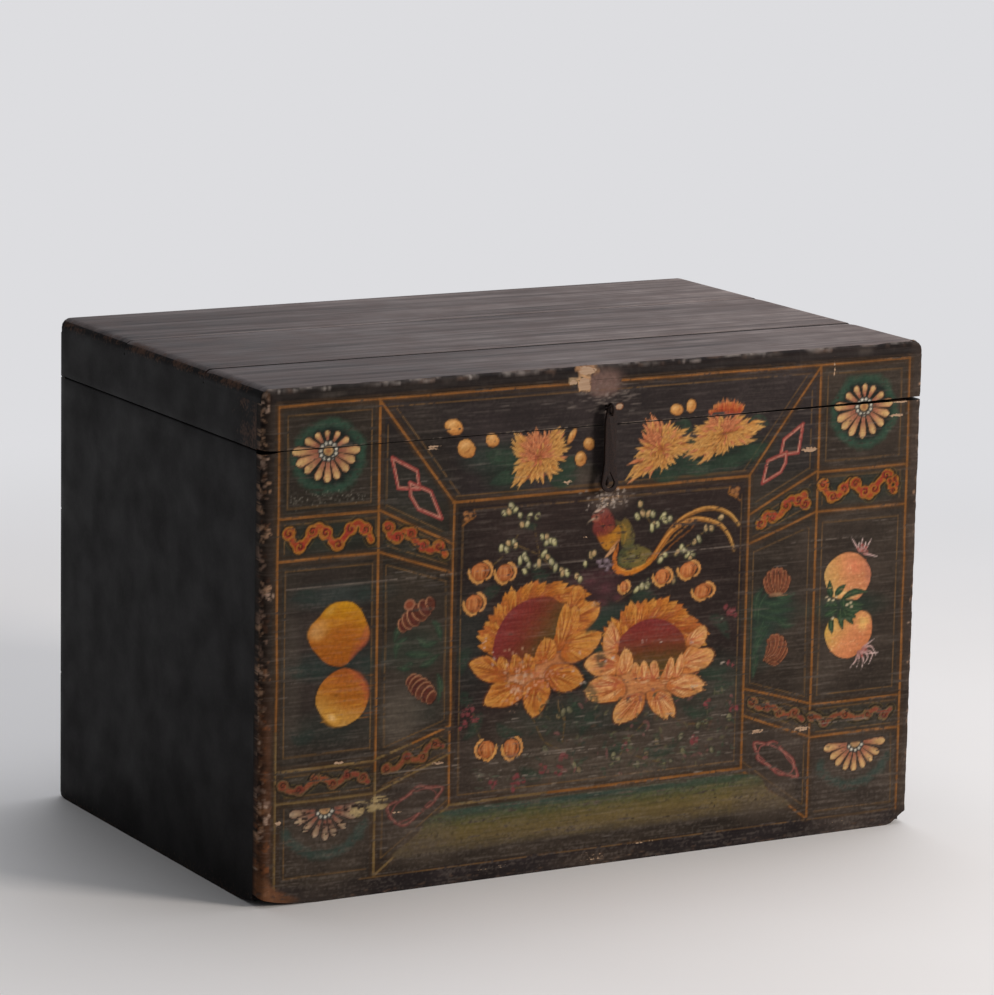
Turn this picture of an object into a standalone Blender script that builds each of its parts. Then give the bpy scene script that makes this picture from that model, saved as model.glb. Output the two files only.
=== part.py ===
"""A painted wooden chest: dovetailed board walls, a box lid, iron hinges and a hasp.

Metres, +Z up. The origin is on the floor under the middle of the chest, the painted
front faces -Y, and the lid swings up about the hinge pins behind the back wall.
"""
import math

import bmesh
import bpy
from mathutils import Vector

# Overall sizes
WIDTH = 0.840           # left to right, over the side walls
DEPTH = 0.530           # front to back, over the front and back walls
BODY_HEIGHT = 0.500     # floor to rim
LID_HEIGHT = 0.068      # rim to the top of the lid
FIT = 0.0003            # gap between pieces that touch

# Boards: thicknesses, and the heights of the glued seams between them
WALL = 0.018
FRONT_SEAM_LOW = 0.133
FRONT_SEAM_HIGH = 0.350
SIDE_SEAM_LOW = 0.115
SIDE_SEAM_HIGH = 0.325
BACK_SEAM_LOW = 0.150
BACK_SEAM_HIGH = 0.345
LID_PLANK = 0.016       # thickness of the planks that close the lid
LID_PLANK_FRONT = 0.147     # width of the lid's front plank
LID_PLANK_REAR = 0.180      # width of the lid's rear plank
LID_ROUND = 0.006       # worn rounding of the lid's upper edges
BOTTOM_PLANK = 0.014    # thickness of the bottom
BOTTOM_COUNT = 3        # planks in the bottom
BOTTOM_LIFT = 0.016     # floor to the underside of the bottom
GROOVE = 0.008          # how far the bottom is let into the walls

# Corner dovetails: the front and back boards have the tails, the sides the pins
TAIL_WIDTH = 0.022      # at the root
PIN_WIDTH = 0.022       # least pin at the root
TAIL_FLARE = 1 / 6      # widening of a tail's flank for each unit of its length

# Strap hinges on the back
HINGE_INSET = 0.150     # side of the chest to the middle of a hinge
HINGE_WIDTH = 0.042
LEAF = 0.002            # thickness of the iron
BODY_LEAF = 0.062       # hinge axis to the end of the leaf on the body
LID_LEAF = 0.042        # hinge axis to the end of the leaf on the lid
LEAF_CORNER = 0.008     # cut-off corner at a leaf's end
KNUCKLE = 0.0048        # outer radius
HINGE_PIN = 0.0020      # radius
HINGE_PIN_HEAD = 0.0036
HINGE_PIN_HEAD_HEIGHT = 0.0015
NAIL = 0.0014           # shank radius
NAIL_HEAD = 0.0042
NAIL_HEAD_HEIGHT = 0.0022
NAIL_LENGTH = 0.014     # under the head
NAIL_MARGIN = 0.011     # nail to the knuckle, and nail to the end of the leaf

# Eye on the lid that the hasp hangs from
HASP_RISE = 0.020       # rim to the hasp's pivot
HASP_STAND_OFF = 0.0105     # front of the lid to the hasp's pivot
EYE_RADIUS = 0.0055     # to the middle of the wire
EYE_WIRE = 0.0015       # wire radius
EYE_FILLET = 0.0020     # bend from the ring into the shank
EYE_PLAY = 0.0005       # room for the hasp in the ring
CLINCH = 0.010          # wire bent over inside

# Hasp
HASP_THICK = 0.003
HASP_WIDTH = 0.0145
HASP_TOP_WIDTH = 0.010
HASP_TAPER = 0.014      # pivot to where the full width starts
HASP_FLARE = 0.060      # pivot to where the end starts to widen
HASP_DROP = 0.0825      # pivot to the middle of the round end
HASP_END = 0.0105       # radius of the round end
SLOT_RADIUS = 0.0058    # round part of the teardrop slot
SLOT_POINT = 0.0125     # middle of the round part to the slot's point

# Lock staple on the body, which the slot drops over
STAPLE_RADIUS = 0.0042  # to the middle of the wire
STAPLE_WIRE = 0.0016
STAPLE_RISE = 0.0012    # middle of the slot's round part to the middle of the staple
STAPLE_PLAY = 0.0006    # hanging hasp to the end of the staple

# Facets
ROUND_SIDES = 16
HOLE_SIDES = 10
NAIL_SIDES = 10
BEND_STEPS = 4
RING_STEPS = 18

# Places worked out from the sizes
TOP = BODY_HEIGHT + LID_HEIGHT
LID_BOTTOM = BODY_HEIGHT + FIT
SKIRT_TOP = TOP - LID_PLANK - FIT
FRONT = -DEPTH / 2
BACK = DEPTH / 2
HINGE_Y = BACK + FIT + KNUCKLE
HINGE_Z = BODY_HEIGHT + FIT / 2
HASP_Y = FRONT - HASP_STAND_OFF
HASP_Z = BODY_HEIGHT + HASP_RISE
HASP_BRIDGE = math.sqrt((EYE_RADIUS - EYE_WIRE - EYE_PLAY) ** 2 - (HASP_THICK / 2) ** 2)
STAPLE_Z = HASP_Z - HASP_DROP + STAPLE_RISE
STAPLE_REACH = HASP_STAND_OFF - HASP_THICK / 2 - STAPLE_PLAY
THROUGH = 0.010         # how far a cutter runs past the wood


def clear_scene():
    """Start from an empty scene."""
    for item in list(bpy.data.objects):
        bpy.data.objects.remove(item, do_unlink=True)


def finish(name, colour, roughness, metallic=0.0):
    """A plain material with a colour, a roughness and a metallic value."""
    made = bpy.data.materials.new(name)
    made.use_nodes = True
    shader = made.node_tree.nodes["Principled BSDF"]
    shader.inputs["Base Color"].default_value = (*colour, 1.0)
    shader.inputs["Roughness"].default_value = roughness
    shader.inputs["Metallic"].default_value = metallic
    return made


def seat(piece, parent, place):
    """Link a piece, at its place in the chest, under its parent."""
    bpy.context.scene.collection.objects.link(piece)
    piece.location = Vector(place)
    if parent:
        piece.parent = parent
        piece.location -= parent.location


def add_piece(name, bm, material, parent=None, place=(0, 0, 0)):
    """Turn a bmesh into a named object."""
    mesh = bpy.data.meshes.new(name)
    bm.to_mesh(mesh)
    bm.free()
    mesh.materials.append(material)
    piece = bpy.data.objects.new(name, mesh)
    seat(piece, parent, place)
    return piece


def add_cutter(name, bm):
    """A shape that only cuts: it shows as wire and isn't a piece of the chest."""
    cutter = add_piece(name, bm, IRON)
    cutter.hide_render = True
    cutter.display_type = "WIRE"
    return cutter


def combine(piece, tool, operation="DIFFERENCE"):
    """Cut a tool out of a piece, or join it on."""
    change = piece.modifiers.new(tool.name, "BOOLEAN")
    change.operation = operation
    change.solver = "EXACT"
    change.object = tool


def box(low, high):
    """A block between two corners."""
    low, high = Vector(low), Vector(high)
    bm = bmesh.new()
    bmesh.ops.create_cube(bm, size=1.0)
    bmesh.ops.scale(bm, vec=high - low, verts=bm.verts)
    bmesh.ops.translate(bm, vec=(low + high) / 2, verts=bm.verts)
    return bm


def extruded(outline, vector):
    """A flat outline pulled along a vector."""
    bm = bmesh.new()
    face = bm.faces.new([bm.verts.new(point) for point in outline])
    pulled = bmesh.ops.extrude_face_region(bm, geom=[face])["geom"]
    moved = [item for item in pulled if isinstance(item, bmesh.types.BMVert)]
    bmesh.ops.translate(bm, vec=vector, verts=moved)
    bmesh.ops.recalc_face_normals(bm, faces=bm.faces)
    return bm


def turned(profile, sides):
    """A profile of (radius, height) points spun about the Z axis."""
    bm = bmesh.new()
    points = [bm.verts.new((radius, 0, height)) for radius, height in profile]
    edges = [bm.edges.new(pair) for pair in zip(points, points[1:])]
    bmesh.ops.spin(bm, geom=points + edges, cent=(0, 0, 0), axis=(0, 0, 1),
                   angle=math.tau, steps=sides, use_merge=True)
    bmesh.ops.remove_doubles(bm, verts=bm.verts, dist=1e-6)
    bmesh.ops.recalc_face_normals(bm, faces=bm.faces)
    return bm


def lay_along(bm, axis, centre):
    """Turn a shape that stands on Z so that it points along another axis, and place it."""
    turn = Vector((0, 0, 1)).rotation_difference(Vector(axis)).to_matrix()
    bmesh.ops.rotate(bm, cent=(0, 0, 0), matrix=turn, verts=bm.verts)
    bmesh.ops.translate(bm, vec=centre, verts=bm.verts)
    return bm


def add_rod(bm, radius, length, axis, centre, sides):
    """Add a round rod, by its middle, to a bmesh."""
    profile = [(0, -length / 2), (radius, -length / 2), (radius, length / 2), (0, length / 2)]
    rod = lay_along(turned(profile, sides), axis, centre)
    mesh = bpy.data.meshes.new("rod")
    rod.to_mesh(mesh)
    rod.free()
    bm.from_mesh(mesh)
    bpy.data.meshes.remove(mesh)


def board_spans(seams, bottom, top):
    """Lowest and highest point of each board of a wall, with a gap at each seam."""
    levels = [bottom, *seams, top]
    gaps = [0, *[FIT / 2 for _ in seams], 0]
    return [(levels[i] + gaps[i], levels[i + 1] - gaps[i + 1]) for i in range(len(levels) - 1)]


def tail_heights(span):
    """Middles of the tails on one board, shared out with a half pin at either edge."""
    low, high = span
    count = max(1, math.floor((high - low) / (TAIL_WIDTH + PIN_WIDTH)))
    pitch = (high - low) / count
    return [low + pitch * (step + 0.5) for step in range(count)]


def faces_towards(bm, direction):
    """Faces that look one way."""
    bm.normal_update()
    return [face for face in bm.faces if face.normal.dot(Vector(direction)) > 0.9]


def score(bm, faces, point, normal):
    """Cut faces in two along a plane."""
    geom = {item for face in faces for item in (face, *face.edges, *face.verts)}
    bmesh.ops.bisect_plane(bm, geom=list(geom), dist=1e-6, plane_co=point, plane_no=normal)


def tail_board(name, side, span, material, parent=None):
    """One board of the front (side -1) or back (side 1), with dovetails at both ends."""
    low, high = span
    shoulder = WIDTH / 2 - WALL - FIT
    faces_y = sorted((side * DEPTH / 2, side * (DEPTH / 2 - WALL)))
    bm = box((-shoulder, faces_y[0], low), (shoulder, faces_y[1], high))
    reach = WALL + FIT
    spread = 1 + 2 * TAIL_FLARE * reach / TAIL_WIDTH
    heights = tail_heights(span)
    for end in (-1, 1):
        for height in heights:
            for rim in (-1, 1):
                edge = (0, 0, height + rim * TAIL_WIDTH / 2)
                score(bm, faces_towards(bm, (end, 0, 0)), edge, (0, 0, 1))
        roots = [face for face in faces_towards(bm, (end, 0, 0))
                 if any(abs(face.calc_center_median().z - height) < FIT for height in heights)]
        for tail in bmesh.ops.extrude_discrete_faces(bm, faces=roots)["faces"]:
            middle = tail.calc_center_median()
            for vert in tail.verts:
                vert.co.x += end * reach
                vert.co.z = middle.z + (vert.co.z - middle.z) * spread
    return add_piece(name, bm, material, parent)


def pin_board(name, side, span, tails, material, parent=None):
    """One board of the left (side -1) or right (side 1), with pins between the tails.

    tails gives the heights of the tails at the front (-1) and at the back (1).
    """
    low, high = span
    shoulder = DEPTH / 2 - WALL - FIT
    faces_x = sorted((side * WIDTH / 2, side * (WIDTH / 2 - WALL)))
    bm = box((faces_x[0], -shoulder, low), (faces_x[1], shoulder, high))
    root = WIDTH / 2 - WALL - FIT
    half_gap = TAIL_WIDTH / 2 + TAIL_FLARE * WALL / 2
    for end, heights in tails.items():
        for height in heights:
            for rim in (-1, 1):
                start = (side * root, 0, height + rim * (TAIL_WIDTH / 2 + FIT))
                flank = Vector((side, 0, rim * TAIL_FLARE))
                score(bm, faces_towards(bm, (0, end, 0)), start, flank.cross((0, 1, 0)))
        roots = [face for face in faces_towards(bm, (0, end, 0))
                 if all(abs(face.calc_center_median().z - height) > half_gap for height in heights)]
        for pin in bmesh.ops.extrude_discrete_faces(bm, faces=roots)["faces"]:
            bmesh.ops.translate(bm, vec=(0, end * (WALL + FIT), 0), verts=pin.verts)
    return add_piece(name, bm, material, parent)


def add_walls():
    """The body's four walls, three boards each."""
    tiers = ("lower", "middle", "upper")
    front_seams = (FRONT_SEAM_LOW, FRONT_SEAM_HIGH)
    back_seams = (BACK_SEAM_LOW, BACK_SEAM_HIGH)
    side_seams = (SIDE_SEAM_LOW, SIDE_SEAM_HIGH)
    tails = {}
    made = {}
    for wall, side, seams, material in (("front", -1, front_seams, PAINTED),
                                        ("back", 1, back_seams, LACQUERED)):
        spans = board_spans(seams, 0, BODY_HEIGHT)
        tails[side] = [height for span in spans for height in tail_heights(span)]
        for tier, span in zip(tiers, spans):
            name = f"{wall}_board_{tier}"
            made[name] = tail_board(name, side, span, material)
    for wall, side in (("left", -1), ("right", 1)):
        for tier, span in zip(tiers, board_spans(side_seams, 0, BODY_HEIGHT)):
            name = f"{wall}_board_{tier}"
            made[name] = pin_board(name, side, span, tails, LACQUERED)
    return made


def add_bottom(walls):
    """Bottom planks, and the groove that holds them in the lowest boards."""
    half_x = WIDTH / 2 - WALL + GROOVE
    half_y = DEPTH / 2 - WALL + GROOVE
    low, high = BOTTOM_LIFT, BOTTOM_LIFT + BOTTOM_PLANK
    groove = add_cutter("bottom_groove", box((-half_x - FIT, -half_y - FIT, low - FIT),
                                             (half_x + FIT, half_y + FIT, high + FIT)))
    for wall in ("front", "back", "left", "right"):
        combine(walls[f"{wall}_board_lower"], groove)
    pitch = 2 * half_y / BOTTOM_COUNT
    for step in range(BOTTOM_COUNT):
        start = -half_y + step * pitch + (FIT / 2 if step else 0)
        stop = -half_y + (step + 1) * pitch - (FIT / 2 if step < BOTTOM_COUNT - 1 else 0)
        plank = box((-half_x, start, low), (half_x, stop, high))
        add_piece(f"bottom_plank_{step + 1}", plank, BARE)


def add_lid(axis):
    """The lid: four dovetailed skirts under three planks."""
    span = (LID_BOTTOM, SKIRT_TOP)
    tails = {end: tail_heights(span) for end in (-1, 1)}
    front = tail_board("lid_front_skirt", -1, span, PAINTED, axis)
    back = tail_board("lid_back_skirt", 1, span, LACQUERED, axis)
    pin_board("lid_left_skirt", -1, span, tails, LACQUERED, axis)
    pin_board("lid_right_skirt", 1, span, tails, LACQUERED, axis)
    names = ("lid_plank_front", "lid_plank_middle", "lid_plank_rear")
    seams = (FRONT + LID_PLANK_FRONT, BACK - LID_PLANK_REAR)
    for name, (start, stop) in zip(names, board_spans(seams, FRONT, BACK)):
        bm = box((-WIDTH / 2, start, TOP - LID_PLANK), (WIDTH / 2, stop, TOP))
        outer = [edge for edge in bm.edges if is_outer_arris(edge)]
        bmesh.ops.bevel(bm, geom=outer, offset=LID_ROUND, offset_type="OFFSET", segments=3,
                        profile=0.5, affect="EDGES", material=-1)
        add_piece(name, bm, WORN, axis)
    return front, back


def is_outer_arris(edge):
    """Whether an edge of a lid plank is an upper edge on the outside of the lid."""
    ends = [vert.co for vert in edge.verts]
    on_top = all(abs(end.z - TOP) < FIT / 2 for end in ends)
    at_side = all(WIDTH / 2 - abs(end.x) < FIT / 2 for end in ends) and ends[0].x * ends[1].x > 0
    at_front_or_back = all(DEPTH / 2 - abs(end.y) < FIT / 2 for end in ends)
    return on_top and (at_side or at_front_or_back)


def hinge_places():
    """x of the middle of each hinge."""
    return {"left": -WIDTH / 2 + HINGE_INSET, "right": WIDTH / 2 - HINGE_INSET}


def nail_heights(side):
    """Heights of the nails in the lid's leaf (side 1) or the body's leaf (side -1)."""
    length = LID_LEAF if side > 0 else BODY_LEAF
    return [HINGE_Z + side * (KNUCKLE + NAIL_MARGIN), HINGE_Z + side * (length - NAIL_MARGIN)]


def knuckle_roll(side, start, stop):
    """Iron rolled into a knuckle from x start to stop, with the tab that joins its leaf."""
    mouth = math.acos((KNUCKLE - LEAF) / KNUCKLE)
    outline = arc((0, 0), KNUCKLE, math.pi, mouth - math.pi, ROUND_SIDES)
    tab = 2 * KNUCKLE
    outline += [(-KNUCKLE + LEAF, -tab), (-KNUCKLE, -tab)]
    points = [(start, HINGE_Y + y, HINGE_Z - side * z) for y, z in outline]
    return extruded(points, (stop - start, 0, 0))


def add_leaf(name, side, centre, rolls, material, parent, bores, nails):
    """One leaf of a hinge: a plate with rolled knuckles, a bore and nail holes."""
    length = LID_LEAF if side > 0 else BODY_LEAF
    near = HINGE_Z + side * (KNUCKLE + FIT)
    far = HINGE_Z + side * length
    lows_highs = sorted((near, far))
    bm = box((centre - HINGE_WIDTH / 2, BACK + FIT, lows_highs[0]),
             (centre + HINGE_WIDTH / 2, BACK + FIT + LEAF, lows_highs[1]))
    corners = [edge for edge in bm.edges
               if all(abs(vert.co.z - far) < FIT for vert in edge.verts)
               and abs(edge.verts[0].co.x - edge.verts[1].co.x) < FIT]
    bmesh.ops.bevel(bm, geom=corners, offset=LEAF_CORNER, offset_type="OFFSET", segments=3,
                    profile=0.5, affect="EDGES", material=-1)
    leaf = add_piece(name, bm, material, parent)
    for number, (start, stop) in enumerate(rolls):
        roll = add_cutter(f"{name}_roll_{number}", knuckle_roll(side, start, stop))
        combine(leaf, roll, "UNION")
    combine(leaf, bores)
    combine(leaf, nails)


def add_hinges(lid_axis, back_board, back_skirt):
    """Two strap hinges with their pins and nails."""
    bore_bm = bmesh.new()
    hole_bm = bmesh.new()
    for centre in hinge_places().values():
        add_rod(bore_bm, HINGE_PIN + FIT, HINGE_WIDTH + THROUGH, (1, 0, 0),
                (centre, HINGE_Y, HINGE_Z), ROUND_SIDES)
        for side in (-1, 1):
            for height in nail_heights(side):
                start = BACK + FIT + LEAF + THROUGH
                stop = BACK + FIT + LEAF - NAIL_LENGTH
                add_rod(hole_bm, NAIL + FIT, start - stop, (0, 1, 0),
                        (centre, (start + stop) / 2, height), HOLE_SIDES)
    bores = add_cutter("hinge_bores", bore_bm)
    nails = add_cutter("hinge_nail_holes", hole_bm)
    combine(back_board, nails)
    combine(back_skirt, nails)
    third = HINGE_WIDTH / 3
    for name, centre in hinge_places().items():
        edge = centre - HINGE_WIDTH / 2
        outer = [(edge, edge + third - FIT / 2), (edge + 2 * third + FIT / 2, edge + HINGE_WIDTH)]
        inner = [(edge + third + FIT / 2, edge + 2 * third - FIT / 2)]
        add_leaf(f"{name}_hinge_body_leaf", -1, centre, outer, IRON, None, bores, nails)
        add_leaf(f"{name}_hinge_lid_leaf", 1, centre, inner, IRON, lid_axis, bores, nails)
        add_hinge_pin(f"{name}_hinge_pin", centre)
        add_nails(name, centre, lid_axis)


def add_hinge_pin(name, centre):
    """A pin with a hammered head at each end."""
    half = HINGE_WIDTH / 2 + FIT
    head = half + HINGE_PIN_HEAD_HEIGHT
    profile = [(0, -head), (HINGE_PIN_HEAD, -head), (HINGE_PIN_HEAD, -half), (HINGE_PIN, -half),
               (HINGE_PIN, half), (HINGE_PIN_HEAD, half), (HINGE_PIN_HEAD, head), (0, head)]
    pin = lay_along(turned(profile, ROUND_SIDES), (1, 0, 0), (0, 0, 0))
    add_piece(name, pin, IRON, place=(centre, HINGE_Y, HINGE_Z))


def add_nails(name, centre, lid_axis):
    """Domed nails, two through each leaf."""
    shoulder = 0.7 * NAIL_HEAD
    profile = [(0, NAIL_HEAD_HEIGHT), (shoulder, 0.6 * NAIL_HEAD_HEIGHT), (NAIL_HEAD, 0), (NAIL, 0),
               (NAIL, -NAIL_LENGTH + 2 * NAIL), (0, -NAIL_LENGTH + FIT)]
    for side, part, parent in ((-1, "body", None), (1, "lid", lid_axis)):
        for number, height in enumerate(nail_heights(side)):
            nail = lay_along(turned(profile, NAIL_SIDES), (0, 1, 0), (0, 0, 0))
            place = (centre, BACK + LEAF + 2 * FIT, height)
            add_piece(f"{name}_hinge_{part}_nail_{number + 1}", nail, IRON, parent, place)


def arc(centre, radius, start, stop, steps):
    """Points (y, z) on a circle, from one angle to another."""
    angles = [start + (stop - start) * step / steps for step in range(steps + 1)]
    return [(centre[0] + radius * math.cos(a), centre[1] + radius * math.sin(a)) for a in angles]


def clinched_end(wall_inside, offset, wire):
    """Upper half of a wire's inner end: bent up against the inside of the wood."""
    bend = FIT + wire
    curve = arc((wall_inside, offset + bend), bend, -math.pi / 2, 0, BEND_STEPS)
    return curve + [(wall_inside + bend, offset + bend + CLINCH)]


def add_wire(name, upper_half, wire, material, parent, place):
    """A bent wire, alike above and below, from the points of its upper half."""
    lower_half = [(y, -z) for y, z in reversed(upper_half)]
    path = upper_half + [point for point in lower_half if point not in upper_half]
    curve = bpy.data.curves.new(name, "CURVE")
    curve.dimensions = "3D"
    curve.bevel_depth = wire
    curve.bevel_resolution = 2
    curve.use_fill_caps = True
    spline = curve.splines.new("POLY")
    spline.points.add(len(path) - 1)
    for point, (y, z) in zip(spline.points, path):
        point.co = (0, y, z, 1)
    curve.materials.append(material)
    piece = bpy.data.objects.new(name, curve)
    seat(piece, parent, place)
    return piece


def add_hasp_eye(lid_axis, skirt):
    """Split pin through the lid's front: a ring outside, two ends bent over inside."""
    leg = EYE_WIRE + FIT
    inside = HASP_STAND_OFF + WALL
    rise = leg + EYE_FILLET
    run = math.sqrt((EYE_RADIUS + EYE_FILLET) ** 2 - rise ** 2)
    meet = math.atan2(rise, run)
    upper = list(reversed(clinched_end(inside, leg, EYE_WIRE)))
    upper += arc((run, rise), EYE_FILLET, 1.5 * math.pi, math.pi + meet, BEND_STEPS)
    upper += arc((0, 0), EYE_RADIUS, meet, math.pi, RING_STEPS)[1:]
    add_wire("hasp_eye", upper, EYE_WIRE, IRON, lid_axis, (0, HASP_Y, HASP_Z))
    side = EYE_WIRE + FIT
    height = leg + EYE_WIRE + FIT
    hole = add_cutter("hasp_eye_hole", box((-side, FRONT - THROUGH, HASP_Z - height),
                                           (side, FRONT + WALL + THROUGH, HASP_Z + height)))
    combine(skirt, hole)


def add_lock_staple(board):
    """Staple in the body's top board: two legs bent over inside, a round end outside."""
    centre = FRONT - STAPLE_REACH + STAPLE_WIRE + STAPLE_RADIUS
    inside = FRONT + WALL - centre
    upper = list(reversed(clinched_end(inside, STAPLE_RADIUS, STAPLE_WIRE)))
    upper += arc((0, 0), STAPLE_RADIUS, math.pi / 2, math.pi, RING_STEPS // 2)
    add_wire("lock_staple", upper, STAPLE_WIRE, IRON, None, (0, centre, STAPLE_Z))
    bm = bmesh.new()
    for rim in (-1, 1):
        add_rod(bm, STAPLE_WIRE + FIT, WALL + 2 * THROUGH, (0, 1, 0),
                (0, FRONT + WALL / 2, STAPLE_Z + rim * STAPLE_RADIUS), HOLE_SIDES)
    combine(board, add_cutter("lock_staple_holes", bm))


def hasp_outline():
    """Right half of the hasp's outline as (x, z) from its pivot, top to bottom."""
    top = [(HASP_TOP_WIDTH / 2 * math.sin(a), HASP_BRIDGE * math.cos(a))
           for a in (math.pi / 2 * step / BEND_STEPS for step in range(BEND_STEPS + 1))]
    sides = [(HASP_WIDTH / 2, -HASP_TAPER), (HASP_WIDTH / 2, -HASP_FLARE)]
    end = arc((0, -HASP_DROP), HASP_END, 0, -math.pi / 2, 2 * BEND_STEPS)
    return top + sides + end


def add_hasp(lid_axis):
    """The hasp: a flat iron strap with a hole for the eye and a teardrop slot."""
    right = hasp_outline()
    left = [(-x, z) for x, z in reversed(right[1:-1])]
    back = HASP_THICK / 2
    outline = [(x, -back, z) for x, z in right + left]
    hasp = add_piece("hasp", extruded(outline, (0, HASP_THICK, 0)), IRON, lid_axis,
                     (0, HASP_Y, HASP_Z))
    side = EYE_WIRE + EYE_PLAY
    hole_low = HASP_Z - EYE_RADIUS - EYE_WIRE - EYE_PLAY
    hole = box((-side, HASP_Y - THROUGH, hole_low), (side, HASP_Y + THROUGH, HASP_Z - HASP_BRIDGE))
    combine(hasp, add_cutter("hasp_hole", hole))
    tangent = math.acos(SLOT_RADIUS / SLOT_POINT)
    round_part = arc((0, HASP_Z - HASP_DROP), SLOT_RADIUS, math.pi / 2 + tangent,
                     2.5 * math.pi - tangent, ROUND_SIDES)
    point = (0, HASP_Z - HASP_DROP + SLOT_POINT)
    teardrop = [(x, HASP_Y - THROUGH, z) for x, z in [*round_part, point]]
    combine(hasp, add_cutter("hasp_slot", extruded(teardrop, (0, 2 * THROUGH, 0))))


clear_scene()
PAINTED = finish("painted_board", (0.035, 0.028, 0.022), 0.45)
LACQUERED = finish("lacquered_board", (0.016, 0.013, 0.012), 0.42)
WORN = finish("worn_lid_plank", (0.14, 0.11, 0.09), 0.6)
BARE = finish("bare_wood", (0.32, 0.2, 0.11), 0.7)
IRON = finish("forged_iron", (0.08, 0.06, 0.055), 0.5, 0.9)

lid_pivot = bpy.data.objects.new("lid_axis", None)
seat(lid_pivot, None, (0, HINGE_Y, HINGE_Z))
boards = add_walls()
add_bottom(boards)
lid_front, lid_back = add_lid(lid_pivot)
add_hinges(lid_pivot, boards["back_board_upper"], lid_back)
add_hasp_eye(lid_pivot, lid_front)
add_hasp(lid_pivot)
add_lock_staple(boards["front_board_upper"])
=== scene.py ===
# %% [markdown]
# This lesson dresses a painted chest: a low wooden box with a box lid, an iron hasp, and a front
# that a painter filled with flowers, fruit and a bird on dark lacquer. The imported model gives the
# pieces and how they move, so the script only makes the looks and hangs each piece on a body.

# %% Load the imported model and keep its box
import math
import random

import bmesh
import bpy
import numpy as np
from mathutils import Euler, Matrix, Vector, noise


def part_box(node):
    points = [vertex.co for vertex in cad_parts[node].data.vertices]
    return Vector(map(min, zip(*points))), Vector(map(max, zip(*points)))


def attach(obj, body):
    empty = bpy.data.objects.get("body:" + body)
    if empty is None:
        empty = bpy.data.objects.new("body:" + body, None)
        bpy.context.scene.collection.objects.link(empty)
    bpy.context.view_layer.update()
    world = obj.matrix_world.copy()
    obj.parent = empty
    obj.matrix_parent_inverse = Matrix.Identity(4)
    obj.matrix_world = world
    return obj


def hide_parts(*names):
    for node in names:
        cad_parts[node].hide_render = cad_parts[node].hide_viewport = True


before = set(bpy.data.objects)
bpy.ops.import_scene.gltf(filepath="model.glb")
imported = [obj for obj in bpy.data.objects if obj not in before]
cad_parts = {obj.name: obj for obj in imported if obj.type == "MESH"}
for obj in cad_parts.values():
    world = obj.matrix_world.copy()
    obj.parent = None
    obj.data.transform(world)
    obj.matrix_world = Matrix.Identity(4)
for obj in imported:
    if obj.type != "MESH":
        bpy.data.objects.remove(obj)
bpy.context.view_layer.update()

MM = 0.001
scene = bpy.context.scene

# %% [markdown]
# The camera stands to the left of the chest and a little above it, far away with a long lens, which
# keeps the chest's upright edges almost parallel.

# %% Camera
CAMERA_PLACE = (-2.5949, -4.6001, 1.4159)
CAMERA_TURN = (78.808, -1.129, -29.341)
CAMERA_LENS = 168.86
CAMERA_SENSOR = 36.0

camera = bpy.data.objects.new("camera", bpy.data.cameras.new("camera"))
camera.location = CAMERA_PLACE
camera.rotation_euler = Euler([math.radians(a) for a in CAMERA_TURN])
camera.data.lens = CAMERA_LENS
camera.data.sensor_width = CAMERA_SENSOR
scene.collection.objects.link(camera)
scene.camera = camera
scene.view_settings.view_transform = "Standard"
print("camera at", CAMERA_PLACE)

# %% [markdown]
# Every finish is a small tree of nodes. Colours are written as the hex codes that a colour picker
# shows and turned to linear light once, here. One function adds a node, so that a tree reads as a
# list of what feeds what.

# %% Colour and node helpers
def linear(code):
    """An sRGB hex colour as linear red, green, blue and alpha."""
    parts = [int(code[i:i + 2], 16) / 255 for i in (1, 3, 5)]
    light = [p / 12.92 if p <= 0.04045 else ((p + 0.055) / 1.055) ** 2.4 for p in parts]
    return (*light, 1.0)


def add(tree, kind, sockets, **settings):
    """Adds a node. A socket takes a value, or another node's output as a link."""
    made = tree.nodes.new("ShaderNode" + kind)
    for name, value in settings.items():
        setattr(made, name, value)
    for key, value in sockets.items():
        if isinstance(value, bpy.types.NodeSocket):
            tree.links.new(value, made.inputs[key])
        else:
            made.inputs[key].default_value = value
    return made.outputs


def start_material(name):
    """An empty material and its tree."""
    material = bpy.data.materials.new(name)
    material.use_nodes = True
    material.node_tree.nodes.clear()
    print("material:", name)
    return material, material.node_tree


def end_material(tree, colour, roughness, height, depth, metallic=0.0, shine=0.5):
    """Ends a tree in one shader, with a bump of the given depth in metres."""
    bump = add(tree, "Bump", {"Strength": 1.0, "Distance": depth, "Height": height})["Normal"]
    sockets = {"Base Color": colour, "Roughness": roughness, "Normal": bump}
    sockets.update({"Metallic": metallic, "Specular IOR Level": shine})
    shader = add(tree, "BsdfPrincipled", sockets)["BSDF"]
    add(tree, "OutputMaterial", {"Surface": shader})


# Broad stains are about 45 mm across and small flecks about 4 mm.
BLOTCH = 45 * MM
FLECK = 4 * MM


def rubbed_patterns(tree, stretch):
    """Three patterns that age draws on wood: long rubbed streaks, broad blotches and small flecks."""
    place = add(tree, "TexCoord", {})["Object"]
    long_way = add(tree, "Mapping", {"Vector": place, "Scale": stretch})["Vector"]
    streak = add(tree, "TexNoise", {"Vector": long_way, "Scale": 1.0, "Detail": 4.0, "Roughness": 0.6})[0]
    blotch = add(tree, "TexNoise", {"Vector": place, "Scale": 1 / BLOTCH, "Detail": 4.0})[0]
    fleck = add(tree, "TexNoise", {"Vector": place, "Scale": 1 / FLECK, "Detail": 3.0})[0]
    return streak, blotch, fleck


# Rub marks run level: about 40 mm long and 1.4 mm apart.
LEVEL_RUB = (1 / (40 * MM), 1 / (40 * MM), 1 / (1.4 * MM))
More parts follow.
